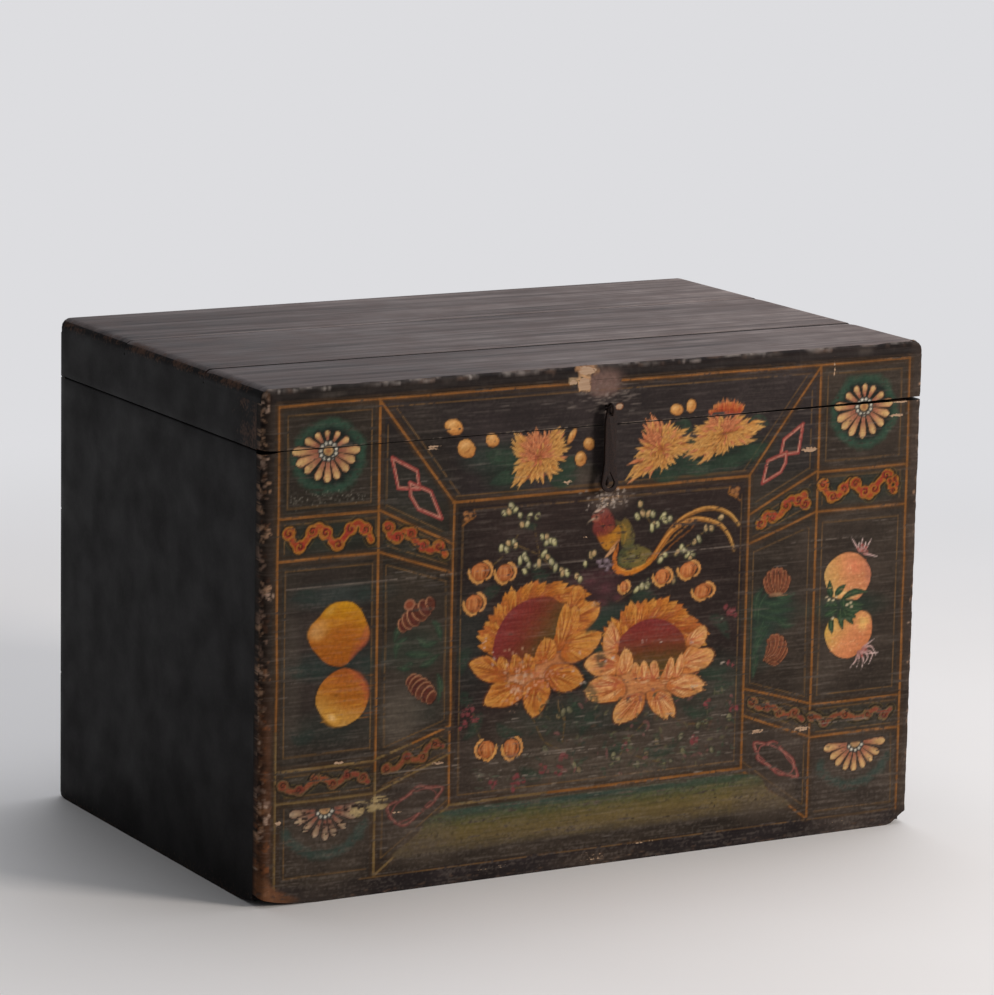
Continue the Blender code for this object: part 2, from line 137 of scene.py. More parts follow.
# Grain on the lid runs along its planks: about 70 mm long and 2.2 mm apart.
PLANK_GRAIN = (1 / (70 * MM), 1 / (2.2 * MM), 1 / (2.2 * MM))
# Broader bands of the same grain: about 300 mm long and 13 mm apart.
BROAD_GRAIN = (1 / (300 * MM), 1 / (13 * MM), 1 / (13 * MM))
print("helpers ready")

# %% [markdown]
# The front was coated with dark brown lacquer and painted. All its colours are worked out further
# down and carried by the boards' vertices in two attributes: Tint for lacquer and paint, and Wear for
# how far the wood shows. The material adds what is finer than a vertex: flecks, and the level streaks
# in which dust and rubbing lie. Old paint is dull, so it has little shine.

# %% Painted front lacquer
front_lacquer, tree = start_material("aged_front_lacquer")
streak, _, fleck = rubbed_patterns(tree, LEVEL_RUB)
tint = add(tree, "Attribute", {}, attribute_name="Tint")["Color"]
wear = add(tree, "Attribute", {}, attribute_name="Wear")["Fac"]
uneven = add(tree, "MapRange", {"Value": fleck, 1: 0.3, 2: 0.7, 3: 0.87, 4: 1.13})[0]
ground = add(tree, "VectorMath", {0: tint, "Scale": uneven}, operation="SCALE")[0]
dust = add(tree, "MapRange", {"Value": streak, 1: 0.55, 2: 0.75, 3: 0.0, 4: 0.08})[0]
dusty = add(tree, "Mix", {0: dust, 6: ground, 7: linear("#6a5d54")}, data_type="RGBA")[2]
broken = add(tree, "Math", {0: fleck, 1: 0.9, 2: wear}, operation="MULTIPLY_ADD")[0]
broken = add(tree, "Math", {0: streak, 1: 0.7, 2: broken}, operation="MULTIPLY_ADD")[0]
shows = add(tree, "MapRange", {"Value": broken, 1: 1.30, 2: 1.42, 3: 0.0, 4: 1.0})[0]
wood = add(tree, "Mix", {0: streak, 6: linear("#7d5d47"), 7: linear("#b39a80")}, data_type="RGBA")[2]
colour = add(tree, "Mix", {0: shows, 6: dusty, 7: wood}, data_type="RGBA")[2]
rough = add(tree, "MapRange", {"Value": broken, 1: 0.5, 2: 1.4, 3: 0.45, 4: 0.75})[0]
end_material(tree, colour, rough, streak, depth=0.2 * MM, shine=0.05)

# %% [markdown]
# The sides and the back have plain near-black lacquer. It has dulled unevenly, and its slightly
# lighter cloudy patches of colour are partly painted sheen and partly uneven lacquer. It has rubbed
# brown along the arrises.

# %% Plain side lacquer
side_lacquer, tree = start_material("dull_black_lacquer")
_, blotch, fleck = rubbed_patterns(tree, LEVEL_RUB)
wear = add(tree, "Attribute", {}, attribute_name="Wear")["Fac"]
# The lighter cloudy patches of the ground colour are partly painted sheen and partly uneven lacquer.
shade = add(tree, "MapRange", {"Value": blotch, 1: 0.3, 2: 0.7, 3: 0.0, 4: 1.0})[0]
ground = add(tree, "Mix", {0: shade, 6: linear("#110e0e"), 7: linear("#171515")}, data_type="RGBA")[2]
dust = add(tree, "MapRange", {"Value": fleck, 1: 0.45, 2: 0.75, 3: 0.0, 4: 0.12})[0]
dusty = add(tree, "Mix", {0: dust, 6: ground, 7: linear("#3a3533")}, data_type="RGBA")[2]
broken = add(tree, "Math", {0: fleck, 1: 0.9, 2: wear}, operation="MULTIPLY_ADD")[0]
shows = add(tree, "MapRange", {"Value": broken, 1: 0.72, 2: 1.05, 3: 0.0, 4: 0.9})[0]
colour = add(tree, "Mix", {0: shows, 6: dusty, 7: linear("#553c2e")}, data_type="RGBA")[2]
rough = add(tree, "MapRange", {"Value": blotch, 1: 0.3, 2: 0.7, 3: 0.6, 4: 0.46})[0]
end_material(tree, colour, rough, blotch, depth=0.15 * MM, shine=0.08)

# %% [markdown]
# The lid's top lost most of its lacquer. What is left is grey-brown softwood with its grain brushed
# up along the planks, darker where lacquer stays in the grain. Its grey base colour is partly a
# painted reflection of the pale surroundings. It is painted lighter towards the right end, as painted
# light and reflection from the lamp's side.

# %% Weathered lid planks
HALF_MM = 420
HALF_WIDTH = HALF_MM * MM
lid_wood, tree = start_material("weathered_lid_softwood")
grain, blotch, fleck = rubbed_patterns(tree, PLANK_GRAIN)
wear = add(tree, "Attribute", {}, attribute_name="Wear")["Fac"]
place = add(tree, "TexCoord", {})["Object"]
wide_way = add(tree, "Mapping", {"Vector": place, "Scale": BROAD_GRAIN})["Vector"]
broad = add(tree, "TexNoise", {"Vector": wide_way, "Scale": 1.0, "Detail": 5.0, "Roughness": 0.65})[0]
both = add(tree, "Mix", {0: 0.72, 2: grain, 3: broad})[0]
shade = add(tree, "MapRange", {"Value": both, 1: 0.33, 2: 0.67, 3: 0.0, 4: 1.0})[0]
# Painted light: the grey of these base colours partly stands in for reflected sheen, and the lighter pair
# used towards the right end is painted light from the lamp's side.
old = add(tree, "Mix", {0: shade, 6: linear("#171414"), 7: linear("#655c5a")}, data_type="RGBA")[2]
along = add(tree, "SeparateXYZ", {"Vector": place})["X"]
rightward = add(tree, "MapRange", {"Value": along, 1: -HALF_WIDTH, 2: HALF_WIDTH, 3: 0.0, 4: 1.0})[0]
painted_lit_right = add(tree, "Mix", {0: shade, 6: linear("#332a2a"), 7: linear("#9a8b84")}, data_type="RGBA")[2]
lit_towards_right = add(tree, "Mix", {0: rightward, 6: old, 7: painted_lit_right}, data_type="RGBA")[2]
stain = add(tree, "MapRange", {"Value": blotch, 1: 0.35, 2: 0.65, 3: 0.0, 4: 0.5})[0]
stained = add(tree, "Mix", {0: stain, 6: lit_towards_right, 7: linear("#52423d")}, data_type="RGBA")[2]
split = add(tree, "MapRange", {"Value": grain, 1: 0.60, 2: 0.68, 3: 0.0, 4: 0.75})[0]
stained = add(tree, "Mix", {0: split, 6: stained, 7: linear("#1d1918")}, data_type="RGBA")[2]
broken = add(tree, "Math", {0: fleck, 1: 0.9, 2: wear}, operation="MULTIPLY_ADD")[0]
shows = add(tree, "MapRange", {"Value": broken, 1: 0.75, 2: 1.0, 3: 0.0, 4: 1.0})[0]
colour = add(tree, "Mix", {0: shows, 6: stained, 7: linear("#4a3429")}, data_type="RGBA")[2]
rough = add(tree, "MapRange", {"Value": grain, 1: 0.3, 2: 0.7, 3: 0.58, 4: 0.8})[0]
end_material(tree, colour, rough, grain, depth=0.4 * MM, shine=0.25)

# %% [markdown]
# Inside, the boards, the lid and the bottom were never coated. They are plain softwood gone brown with
# age, with its grain level on the walls and along the planks of the lid and the bottom.

# %% Bare softwood
def bare_softwood(name, way):
    """Uncoated softwood with its grain running one way."""
    made, tree = start_material(name)
    grain, blotch, _ = rubbed_patterns(tree, way)
    clear = add(tree, "MapRange", {"Value": grain, 1: 0.3, 2: 0.7, 3: 0.0, 4: 1.0})[0]
    pale = add(tree, "Mix", {0: clear, 6: linear("#5f4532"), 7: linear("#9c7b5d")}, data_type="RGBA")[2]
    stain = add(tree, "MapRange", {"Value": blotch, 1: 0.35, 2: 0.7, 3: 0.0, 4: 0.35})[0]
    colour = add(tree, "Mix", {0: stain, 6: pale, 7: linear("#5a4433")}, data_type="RGBA")[2]
    end_material(tree, colour, 0.75, grain, depth=0.3 * MM)
    return made


bare_wood = bare_softwood("bare_softwood_wall", LEVEL_RUB)
bare_plank = bare_softwood("bare_softwood_plank", PLANK_GRAIN)

# %% [markdown]
# The hasp and the hinges are hand-forged iron. Forging leaves shallow dents, and damp left
# brown rust with darker, smoother metal where hands touch it.

# %% Forged iron
DENT = 6 * MM
RUST_GRAIN = 1.5 * MM
forged_iron, tree = start_material("rusted_forged_iron")
place = add(tree, "TexCoord", {})["Object"]
dents = add(tree, "TexNoise", {"Vector": place, "Scale": 1 / DENT, "Detail": 3.0})[0]
rust = add(tree, "TexNoise", {"Vector": place, "Scale": 1 / RUST_GRAIN, "Detail": 4.0})[0]
amount = add(tree, "MapRange", {"Value": rust, 1: 0.35, 2: 0.65, 3: 0.0, 4: 1.0})[0]
colour = add(tree, "Mix", {0: amount, 6: linear("#150f0f"), 7: linear("#2b1e19")}, data_type="RGBA")[2]
rough = add(tree, "MapRange", {"Value": rust, 1: 0.3, 2: 0.7, 3: 0.55, 4: 0.75})[0]
end_material(tree, colour, rough, dents, depth=0.3 * MM, shine=0.12)

# %% [markdown]
# The walls are boards glued edge to edge. Under the lacquer no corner joint shows, so each visible
# front or back board runs the full width and the side boards stand between them. A board starts as
# a cube, its outer arrises are rounded with bevel, and its face is scored into a grid with
# bisect_plane, so that the vertices can carry soft changes of colour and wear.

# %% Board helpers
FRONT_MM = -265
FRONT_FACE = FRONT_MM * MM
BACK_FACE = 265 * MM
WALL_MM = 18
WALL = WALL_MM * MM
JOINT = 0.3 * MM
TOUCHING = 0.01 * MM
CUT_GAP = 0.02 * MM
SHARP = math.radians(38)


def box_mesh(low, high):
    """A new bmesh with one box between two corners."""
    made = bmesh.new()
    bmesh.ops.create_cube(made, size=1.0)
    low, high = Vector(low), Vector(high)
    bmesh.ops.scale(made, vec=high - low, verts=made.verts)
    bmesh.ops.translate(made, vec=(low + high) / 2, verts=made.verts)
    return made


def bevelled(made, edges, offset, segments):
    """Rounds edges, or chamfers them where there is one segment."""
    bmesh.ops.bevel(
        made, geom=edges, offset=offset, segments=segments, profile=0.5, affect="EDGES", material=-1
    )


def round_edges(made, wanted, radius, segments=3):
    """Bevels the edges whose two ends both pass a test."""
    bevelled(made, [e for e in made.edges if all(wanted(v.co) for v in e.verts)], radius, segments)


def score(made, axis, places):
    """Cuts the faces at each place along an axis, which adds rows of vertices and no new shape."""
    for place in places:
        spot, across = Vector(), Vector()
        spot[axis], across[axis] = place, 1.0
        everything = made.verts[:] + made.edges[:] + made.faces[:]
        bmesh.ops.bisect_plane(made, geom=everything, plane_co=spot, plane_no=across, dist=CUT_GAP)


def spread(low, high, step):
    """Evenly spaced places between two ends, the ends left out."""
    count = max(1, round((high - low) / step))
    return [low + (high - low) * k / count for k in range(1, count)]


def finish_piece(made, name, materials, body, slot, *nodes):
    """Makes the object from a bmesh and hangs it on its body in place of its CAD nodes."""
    mesh = bpy.data.meshes.new(name)
    made.to_mesh(mesh)
    made.free()
    for material in materials:
        mesh.materials.append(material)
    mesh.shade_smooth()
    mesh.set_sharp_from_angle(angle=SHARP)
    piece = bpy.data.objects.new(name, mesh)
    scene.collection.objects.link(piece)
    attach(piece, body)
    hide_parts(*nodes)
    return piece


print("front face at", FRONT_FACE, "m")

# %% [markdown]
# The decoration is worked out on a sheet of values that lies on the front like a painter's canvas:
# one colour every 0.75 mm, and beside it how far the wood is bare and how high the surface stands.
# Marks are laid on it in the order in which a painter lays them, and each board then takes the values
# at its own vertices. The marks are shapes with a place and a size in millimetres, x from the chest's
# middle and z from the floor.

# %% Canvas
CANVAS_STEP = 0.75
CANVAS_TOP = 570
CANVAS_X = np.arange(-HALF_MM, HALF_MM + 0.01, CANVAS_STEP)
CANVAS_Z = np.arange(0.0, CANVAS_TOP + 0.01, CANVAS_STEP)
grid_x, grid_z = np.meshgrid(CANVAS_X, CANVAS_Z)
canvas = np.zeros(grid_x.shape + (3,))
bare = np.zeros(grid_x.shape)
relief = np.zeros(grid_x.shape)
hand = random.Random(7)
vary = hand.uniform
OCTAVE_FADE = 0.6
CONTRAST = 1.5


def cloud(seed, wide, tall, octaves):
    """Smooth noise from 0 to 1 with cells of the given width and height in millimetres."""
    dice = np.random.default_rng(seed)
    total, weight = np.zeros(grid_x.shape), 0.0
    for k in range(octaves):
        u, w = (grid_x + HALF_MM) / wide * 2 ** k, grid_z / tall * 2 ** k
        lattice = dice.random((int(w.max()) + 2, int(u.max()) + 2))
        i, j = u.astype(int), w.astype(int)
        s, t = u - i, w - j
        s, t = s * s * (3 - 2 * s), t * t * (3 - 2 * t)
        low = lattice[j, i] * (1 - s) + lattice[j, i + 1] * s
        high = lattice[j + 1, i] * (1 - s) + lattice[j + 1, i + 1] * s
        total += (low * (1 - t) + high * t) * OCTAVE_FADE ** k
        weight += OCTAVE_FADE ** k
    return np.clip((total / weight - 0.5) * CONTRAST + 0.5, 0, 1)


rubbing = cloud(3, 38, 1.6, 3)
flaking = cloud(5, 4.0, 3.4, 2)
mottle = cloud(7, 46, 38, 4)
specks = cloud(11, 2.4, 2.0, 1)
print("canvas of", canvas.shape[:2], "values")

# %% [markdown]
# The ground is a base colour for each zone, then soft ovals: green for foliage, brown for rubbed
# borders, grey where dust has settled into the lacquer. Worn spots show bare wood.

# %% Ground of the front
OVAL_FULL, OVAL_FALL = 1.6, 1.2
GREEN = "#243026"
GROUND_ZONES = [
    (-HALF_MM, 0, HALF_MM, CANVAS_TOP, "#322a24"), (-403, 19, 403, 550, "#342c25"),
    (-281, 430, 281, 550, "#2e2726"), (-190, 90, 190, 430, "#2a201d"),
    (-HALF_MM, 0, HALF_MM, 21, "#272121"), (-HALF_MM, 552, HALF_MM, CANVAS_TOP, "#221b19"),
]
GROUND_SPOTS = [
    (-345, 320, 80, 250, "#24211a", 0.65), (-235, 420, 55, 130, "#262219", 0.5),
    (345, 300, 70, 190, "#3b322b", 0.4), (0, 122, 195, 64, "#4a4036", 0.9),
    (100, 170, 90, 40, "#3f352d", 0.7), (-340, 60, 70, 60, "#413830", 0.8),
    (340, 60, 70, 60, "#413831", 0.8), (-235, 90, 50, 50, "#40362f", 0.8),
    (235, 90, 50, 50, "#423831", 0.8), (-340, 270, 60, 110, "#352c29", 0.6),
    (-120, 462, 34, 26, GREEN, 0.8), (-45, 450, 30, 14, GREEN, 0.8), (-150, 475, 30, 16, "#2b352e", 0.7),
    (110, 448, 66, 18, GREEN, 0.9), (185, 456, 34, 16, GREEN, 0.9), (-330, 338, 62, 14, "#2b3431", 0.7),
    (-330, 262, 66, 16, "#29332f", 0.8), (-330, 192, 60, 20, "#2d332d", 0.6),
    (-232, 270, 34, 26, "#2f342b", 0.8), (-225, 200, 28, 18, "#33342d", 0.6),
    (222, 270, 36, 26, "#26332b", 0.9), (212, 236, 20, 30, "#25322a", 0.8),
    (325, 266, 50, 16, "#2a352c", 0.9), (-2, 238, 24, 40, "#273029", 0.8),
    (140, 195, 50, 34, "#2f352c", 0.7), (15, 285, 34, 14, "#263029", 0.8),
    (-50, 175, 60, 22, "#2e332b", 0.7), (20, 165, 60, 16, "#30332c", 0.6),
    (-165, 270, 24, 60, "#2a2f2b", 0.6), (0, 322, 30, 18, "#3d2527", 0.9),
    (-20, 330, 24, 9, "#43282b", 0.7), (-236, 440, 40, 40, "#2f302a", 0.5),
    (236, 440, 40, 40, "#35322d", 0.5), (-340, 404, 62, 17, "#282c24", 0.9),
    (340, 404, 62, 17, "#2b2f27", 0.9), (-236, 390, 50, 20, "#2b2c25", 0.6),
    (-340, 133, 62, 15, "#363128", 0.7), (340, 136, 62, 15, "#34322a", 0.7),
    (236, 388, 50, 20, "#2e2e27", 0.6), (412, 280, 12, 300, "#40352e", 0.8),
    (-252, 200, 28, 38, "#4d453c", 0.75), (-385, 250, 12, 90, "#3f3831", 0.7),
    (-300, 215, 16, 50, "#3c352e", 0.6), (300, 200, 18, 40, "#3d352e", 0.6),
    (150, 150, 36, 50, "#3f3730", 0.6), (-414, 110, 8, 140, "#5c3a26", 0.7),
    (-414, 400, 8, 170, "#2a211c", 0.8), (0, 8, 60, 10, "#3f342c", 0.6),
    (-2, 548, 24, 14, "#5c4740", 1.0), (10, 416, 26, 12, "#4d4038", 0.9),
    (-25, 445, 16, 14, "#4a3f37", 0.7), (300, 320, 60, 40, "#3d332c", 0.5),
    (-300, 100, 40, 14, "#4a4035", 0.5),
]
WORN_SPOTS = [
    (-28, 548, 9, 9, 0.95), (-24, 562, 13, 6, 0.8), (-43, 551, 7, 4, 0.7), (17, 520, 5, 4, 0.9),
    (10, 530, 20, 4, 0.3), (8, 416, 24, 10, 0.42), (-216, 491, 15, 4, 0.6), (270, 453, 14, 4, 0.75),
    (-204, 139, 12, 3, 0.6), (-326, 153, 9, 3, 0.6), (211, 131, 12, 3, 0.7), (270, 128, 14, 4, 0.6),
    (386, 484, 15, 2.5, 0.7), (390, 500, 13, 2.5, 0.8), (0, 10, 34, 8, 0.35), (299, 545, 2, 14, 0.6),
    (-254, 89, 12, 2, 0.6), (-300, 98, 12, 5, 0.35), (-22, 376, 8, 2, 0.5), (-48, 440, 10, 4, 0.5),
    (-398, 92, 6, 6, 0.6), (299, 151, 2, 3, 0.5), (60, 19, 40, 3, 0.4), (-120, 12, 60, 4, 0.35),
    (330, 10, 50, 5, 0.35),
]


def oval(spot):
    """How strongly a soft oval (x, z, half width, half height, ...) covers each place, from 0 to 1."""
    far = np.hypot((grid_x - spot[0]) / spot[2], (grid_z - spot[1]) / spot[3])
    return np.clip(OVAL_FULL - OVAL_FALL * far, 0, 1)


def rgb(code):
    """A hex colour as the three numbers that the canvas holds."""
    return np.array(linear(code)[:3])


for x0, z0, x1, z1, code in GROUND_ZONES:
    canvas[(grid_x >= x0) & (grid_x <= x1) & (grid_z >= z0) & (grid_z <= z1)] = rgb(code)
for spot in GROUND_SPOTS:
    canvas += (rgb(spot[4]) - canvas) * (spot[5] * oval(spot))[..., None]
DARKEST, MOTTLING = 0.52, 0.56
canvas *= (DARKEST + MOTTLING * mottle)[..., None]
for spot in WORN_SPOTS:
    bare = np.maximum(bare, spot[4] * oval(spot))
EDGE_WEAR = 9.0
LEFT_WEAR, RIGHT_WEAR = 0.12, 0.34
side_reach = np.clip(1 - (HALF_MM - np.abs(grid_x)) / EDGE_WEAR, 0, 1)
bare = np.maximum(bare, side_reach * np.where(grid_x < 0, LEFT_WEAR, RIGHT_WEAR))
print("ground spots:", len(GROUND_SPOTS), "worn spots:", len(WORN_SPOTS))

# %% [markdown]
# Three marks make the whole picture. A stroke is one pull of a brush along a smooth line, a patch is
# a smooth outline filled with colour, and a dab is an oval touch. Each fades a little at its rim,
# carries the streaks of the bristles, and is broken where the surface has been rubbed or has flaked.

# %% Lines and colours of a mark
def window(points, margin):
    """The part of the canvas that a mark may touch."""
    low, high = np.min(points, axis=0) - margin, np.max(points, axis=0) + margin
    shift = (HALF_MM, 0)
    first = [max(0, int(c)) for c in (low + shift) / CANVAS_STEP]
    last = [max(0, int(c) + 2) for c in (high + shift) / CANVAS_STEP]
    return slice(first[1], last[1]), slice(first[0], last[0])


def smooth_line(points, closed=False, fine=6):
    """Points along a smooth curve through the given ones."""
    p = np.array(points, float)
    last = len(p) if closed else len(p) - 1
    before = np.roll(p, 1, 0) if closed else np.vstack((2 * p[0] - p[1], p[:-1]))
    after = np.roll(p, -1, 0) if closed else np.vstack((p[1:], 2 * p[-1] - p[-2]))
    later = np.roll(after, -1, 0) if closed else np.vstack((after[1:], 2 * p[-1] - p[-2]))
    made = []
    for k in range(last):
        a, b, c, d = before[k], p[k], after[k], later[k]
        for s in np.arange(fine) / fine:
            bend, twist = 2 * a - 5 * b + 4 * c - d, 3 * b - a - 3 * c + d
            made.append(0.5 * (2 * b + (c - a) * s + bend * s ** 2 + twist * s ** 3))
    made.append(p[0] if closed else p[-1])
    return np.array(made)


def ramp(colours, t):
    """The colour at each t, from 0 to 1, along a row of hex colours. One colour may stand alone."""
    row = (colours,) if isinstance(colours, str) else colours
    stops = np.array([rgb(code) for code in row])
    places = np.linspace(0, 1, len(stops)) if len(stops) > 1 else np.array([0.0])
    return np.stack([np.interp(t, places, stops[:, c]) for c in range(3)], -1)


def nearest(x, z, line):
    """Distance to a line of points, the side it is on, and the share of the way along."""
    best = np.full(x.shape, 1e9)
    side, way = np.zeros(x.shape), np.zeros(x.shape)
    steps = np.hypot(*np.diff(line, axis=0).T)
    start = np.concatenate(([0.0], np.cumsum(steps)))
    for k, (p, q) in enumerate(zip(line[:-1], line[1:])):
        run = q - p
        long = max(1e-9, run @ run)
        s = np.clip(((x - p[0]) * run[0] + (z - p[1]) * run[1]) / long, 0, 1)
        dx, dz = x - p[0] - s * run[0], z - p[1] - s * run[1]
        far = np.hypot(dx, dz)
        closer = far < best
        best = np.where(closer, far, best)
        side = np.where(closer, np.sign(run[0] * dz - run[1] * dx) * far, side)
        way = np.where(closer, (start[k] + s * steps[k]) / start[-1], way)
    return best, side, way


print("lines ready:", len(smooth_line([(0, 0), (1, 1)])), "points in a short one")

# %% [markdown]
# Every mark is laid in the same way. Its colour covers what is there, apart from the places that are
# rubbed or flaked. The shapes say how wide a stroke is along its way.

# %% Laying a mark
BRISTLE = 0.09
RUB_SHARE, FLAKE_SHARE = 1.2, 0.8
BREAKS_AT, BREAKS_OVER = 1.45, 0.25
marks = {"count": 0}


def touch(rows, cols, colour, cover, worn, across):
    """Lays a mark's colour on the canvas, streaked by the bristles and broken by wear."""
    marks["count"] += 1
    rubbed = RUB_SHARE * rubbing[rows, cols] + FLAKE_SHARE * flaking[rows, cols] + worn
    left = 1 - np.clip((rubbed - BREAKS_AT) / BREAKS_OVER, 0, 1)
    phase = vary(0, 6.3)
    streaks = 1 + BRISTLE * (np.sin(across * 2.1 + phase) + np.sin(across * 4.7 + 2 * phase)) / 2
    tone = vary(0.93, 1.07)
    there = canvas[rows, cols]
    there += (colour * (tone * streaks)[..., None] - there) * (cover * left)[..., None]


def even(u):
    """The same width all along."""
    return 1.0 + 0 * u


def taper(u):
    """Broad at its start and thin at its end."""
    return 1.0 - 0.85 * u


def leaf(u):
    """Thin at both ends."""
    return 0.1 + 0.9 * np.sin(np.pi * np.clip(u, 0, 1) ** 0.8) ** 0.8


def point(u):
    """Full for most of its way, then pointed."""
    return np.where(u < 0.6, 0.5 + 0.5 * np.sin(np.pi * 0.83 * u), np.clip(2.5 * (1 - u), 0.04, 1))


def finger(u):
    """Slim at its root and round at its end."""
    round_end = 0.94 * np.sqrt(np.clip(1 - ((u - 0.72) / 0.28) ** 2, 0, 1)) + 0.06
    return np.where(u < 0.72, 0.4 + 0.75 * u, round_end)


print("brush shapes at half way:",
      [round(float(shape(np.array(0.5))), 2) for shape in (taper, leaf, point, finger)])

# %% [markdown]
# These are the three marks, and three small helpers for placing them.

# %% Stroke, patch and dab
PATCH_UNEVEN, DAB_UNEVEN = 0.10, 0.12
STREAKS_ROUND = 14


def stroke(points, width, colours, worn=0.3, shape=even, rim=None, soft=0.9, strength=1.0):
    """One pull of the brush along points, coloured from its start to its end."""
    line = smooth_line(points)
    rows, cols = window(line, width / 2 + 2)
    x, z = grid_x[rows, cols], grid_z[rows, cols]
    far, side, way = nearest(x, z, line)
    reach = width / 2 * shape(way)
    colour = ramp(colours, way)
    if rim:
        colour += (rgb(rim) - colour) * (np.clip(far / np.maximum(reach, 0.1), 0, 1) ** 2)[..., None]
    touch(rows, cols, colour, strength * np.clip((reach - far) / soft + 0.5, 0, 1), worn, side)


def patch(outline, colours, heart, flow=None, worn=0.2, soft=0.9, strength=1.0):
    """A filled outline. Colours run from its heart to its rim, or along flow from one point to another."""
    line = smooth_line(outline, closed=True, fine=4)
    rows, cols = window(line, 2)
    x, z = grid_x[rows, cols], grid_z[rows, cols]
    far = nearest(x, z, line)[0]
    inside = np.zeros(x.shape, bool)
    for p, q in zip(line[:-1], line[1:]):
        if abs(q[1] - p[1]) > 1e-9:
            crosses = (p[1] > z) != (q[1] > z)
            inside ^= crosses & (x < (q[0] - p[0]) * (z - p[1]) / (q[1] - p[1]) + p[0])
    if flow:
        run = np.subtract(flow[1], flow[0])
        t = ((x - flow[0][0]) * run[0] + (z - flow[0][1]) * run[1]) / (run @ run)
    else:
        t = np.hypot(x - heart[0], z - heart[1]) / np.hypot(*(line - heart).T).max()
    t = t + PATCH_UNEVEN * (flaking[rows, cols] - 0.5)
    colour = ramp(colours, np.clip(t, 0, 1))
    cover = np.clip(np.where(inside, far, -far) / soft + 0.5, 0, 1)
    angle = np.arctan2(z - heart[1], x - heart[0]) * STREAKS_ROUND
    touch(rows, cols, colour, strength * cover, worn, angle)


def dab(x, z, half_width, half_height, colours, worn=0.25, tilt=0.0, light=(0, 0), soft=0.9, strength=1.0):
    """An oval touch coloured from its middle to its rim. light shifts the middle of the colours."""
    rows, cols = window(np.array([[x, z]]), max(half_width, half_height) + 2)
    turn = math.radians(tilt)
    dx, dz = grid_x[rows, cols] - x, grid_z[rows, cols] - z
    u = (dx * math.cos(turn) + dz * math.sin(turn)) / half_width
    w = (dz * math.cos(turn) - dx * math.sin(turn)) / half_height
    rho = np.hypot(u, w) + DAB_UNEVEN * (flaking[rows, cols] - 0.5)
    t = np.hypot(u - light[0], w - light[1]) / (1 + math.hypot(*light))
    cover = np.clip((1 - rho) * min(half_width, half_height) / soft + 0.5, 0, 1)
    touch(rows, cols, ramp(colours, np.clip(t, 0, 1)), strength * cover, worn, w * half_height)


def grown(outline, middle, share):
    """An outline made larger or smaller about a point."""
    return [tuple(np.add(middle, np.subtract(p, middle) * share)) for p in outline]


def ring_point(x, z, across, up, angle):
    """A point on an oval round a place."""
    return x + across * math.cos(angle), z + up * math.sin(angle)


def strew(count, at_x, at_z, wide, tall, tones, worn, strength):
    """Small dabs about a place. at_x and at_z are a mean and a spread, wide and tall are ranges."""
    for k in range(count):
        x, z = hand.gauss(*at_x), hand.gauss(*at_z)
        dab(x, z, vary(*wide), vary(*tall), tones[k % len(tones)], worn, strength=strength)


print("brush marks ready")

# %% [markdown]
# The painter first ruled the front into panels that look like an open room: a back wall in the
# middle, slanting side walls, a floor, and columns at both ends. Ochre lines with a brown shade under
# them part the panels, and thin lines run inside them.

# %% Ruled lines
OCHRE = ("#74491f", "#855526", "#6c451f")
FAINT = ("#5c4427", "#6a4f2e", "#584026")
DULL = ("#644f2e", "#705a37", "#5e482b")
LINE_SHADE = ("#33261a", "#3a2a1c")
STRONG_LINES = [
    (-402, 20, -402, 549), (405, 18, 402, 549), (-402, 549, -46, 549), (20, 549, 402, 549),
    (-281, 22, -281, 548), (281, 22, 281, 548), (-189, 90, -189, 430), (190, 90, 190, 430),
    (-190, 428.5, 190, 428.5), (-190, 90, 190, 90),
    (-402, 427, -281, 427), (-402, 381, -281, 381), (281, 426, 402, 426), (281, 380, 402, 380),
    (-402, 150, -281, 151), (-402, 114, -281, 114), (281, 155, 403, 155), (281, 117, 404, 117),
    (-280, 546, -190, 430), (280, 546, 190, 430), (-280, 427, -190, 383), (280, 427, 190, 384),
    (-280, 381, -190, 351), (280, 380, 190, 350), (-280, 152, -190, 179), (280, 157, 190, 183),
    (-280, 114, -190, 148), (280, 118, 190, 152), (-280, 22, -190, 89), (280, 22, 190, 89),
]
THIN_LINES = [
    (-300, 20, 404, 19),
    (-272, 540, 270, 540), (-178, 100, -178, 408), (180, 100, 180, 408), (-164, 418, 164, 418),
    (-186, 435, 186, 435), (-178, 100, 180, 100), (-200, 84, 200, 84),
    (-391, 438, -291, 438), (-391, 538, -291, 538), (-391, 438, -391, 538), (-291, 438, -291, 538),
    (391, 438, 291, 438), (391, 538, 291, 538), (391, 438, 391, 538), (291, 438, 291, 538),
    (-393, 165, -288, 165), (-393, 370, -288, 370), (-393, 165, -393, 370), (-288, 165, -288, 370),
    (393, 166, 291, 166), (393, 367, 290, 367), (393, 166, 393, 367), (290, 166, 290, 367),
    (-271, 366, -197, 342), (-197, 342, -197, 187), (-197, 187, -271, 164), (-271, 164, -271, 366),
    (271, 363, 198, 341), (198, 341, 198, 189), (198, 189, 273, 166), (273, 166, 271, 363),
    (-262, 538, -182, 436), (262, 538, 182, 436), (-272, 520, -272, 430), (270, 520, 270, 430),
    (-272, 432, -194, 393), (270, 432, 198, 398), (-272, 40, -192, 96), (274, 38, 192, 98),
    (-272, 40, -272, 108), (275, 40, 275, 112), (-391, 30, -291, 30), (397, 28, 291, 28),
    (-391, 30, -391, 108), (397, 28, 394, 110), (-284, 420, -284, 388), (-394, 420, -394, 388),
    (288, 420, 288, 388), (394, 420, 394, 388), (-394, 420, -284, 420), (288, 420, 394, 420),
    (-272, 418, -196, 380), (272, 412, 197, 378), (-272, 388, -196, 361), (272, 388, 197, 359),
    (-391, 121, -288, 121), (290, 122, 398, 122), (-391, 144, -288, 144), (290, 149, 398, 149),
    (-272, 146, -196, 170), (276, 150, 196, 175), (-272, 121, -196, 151), (276, 126, 196, 158),
]
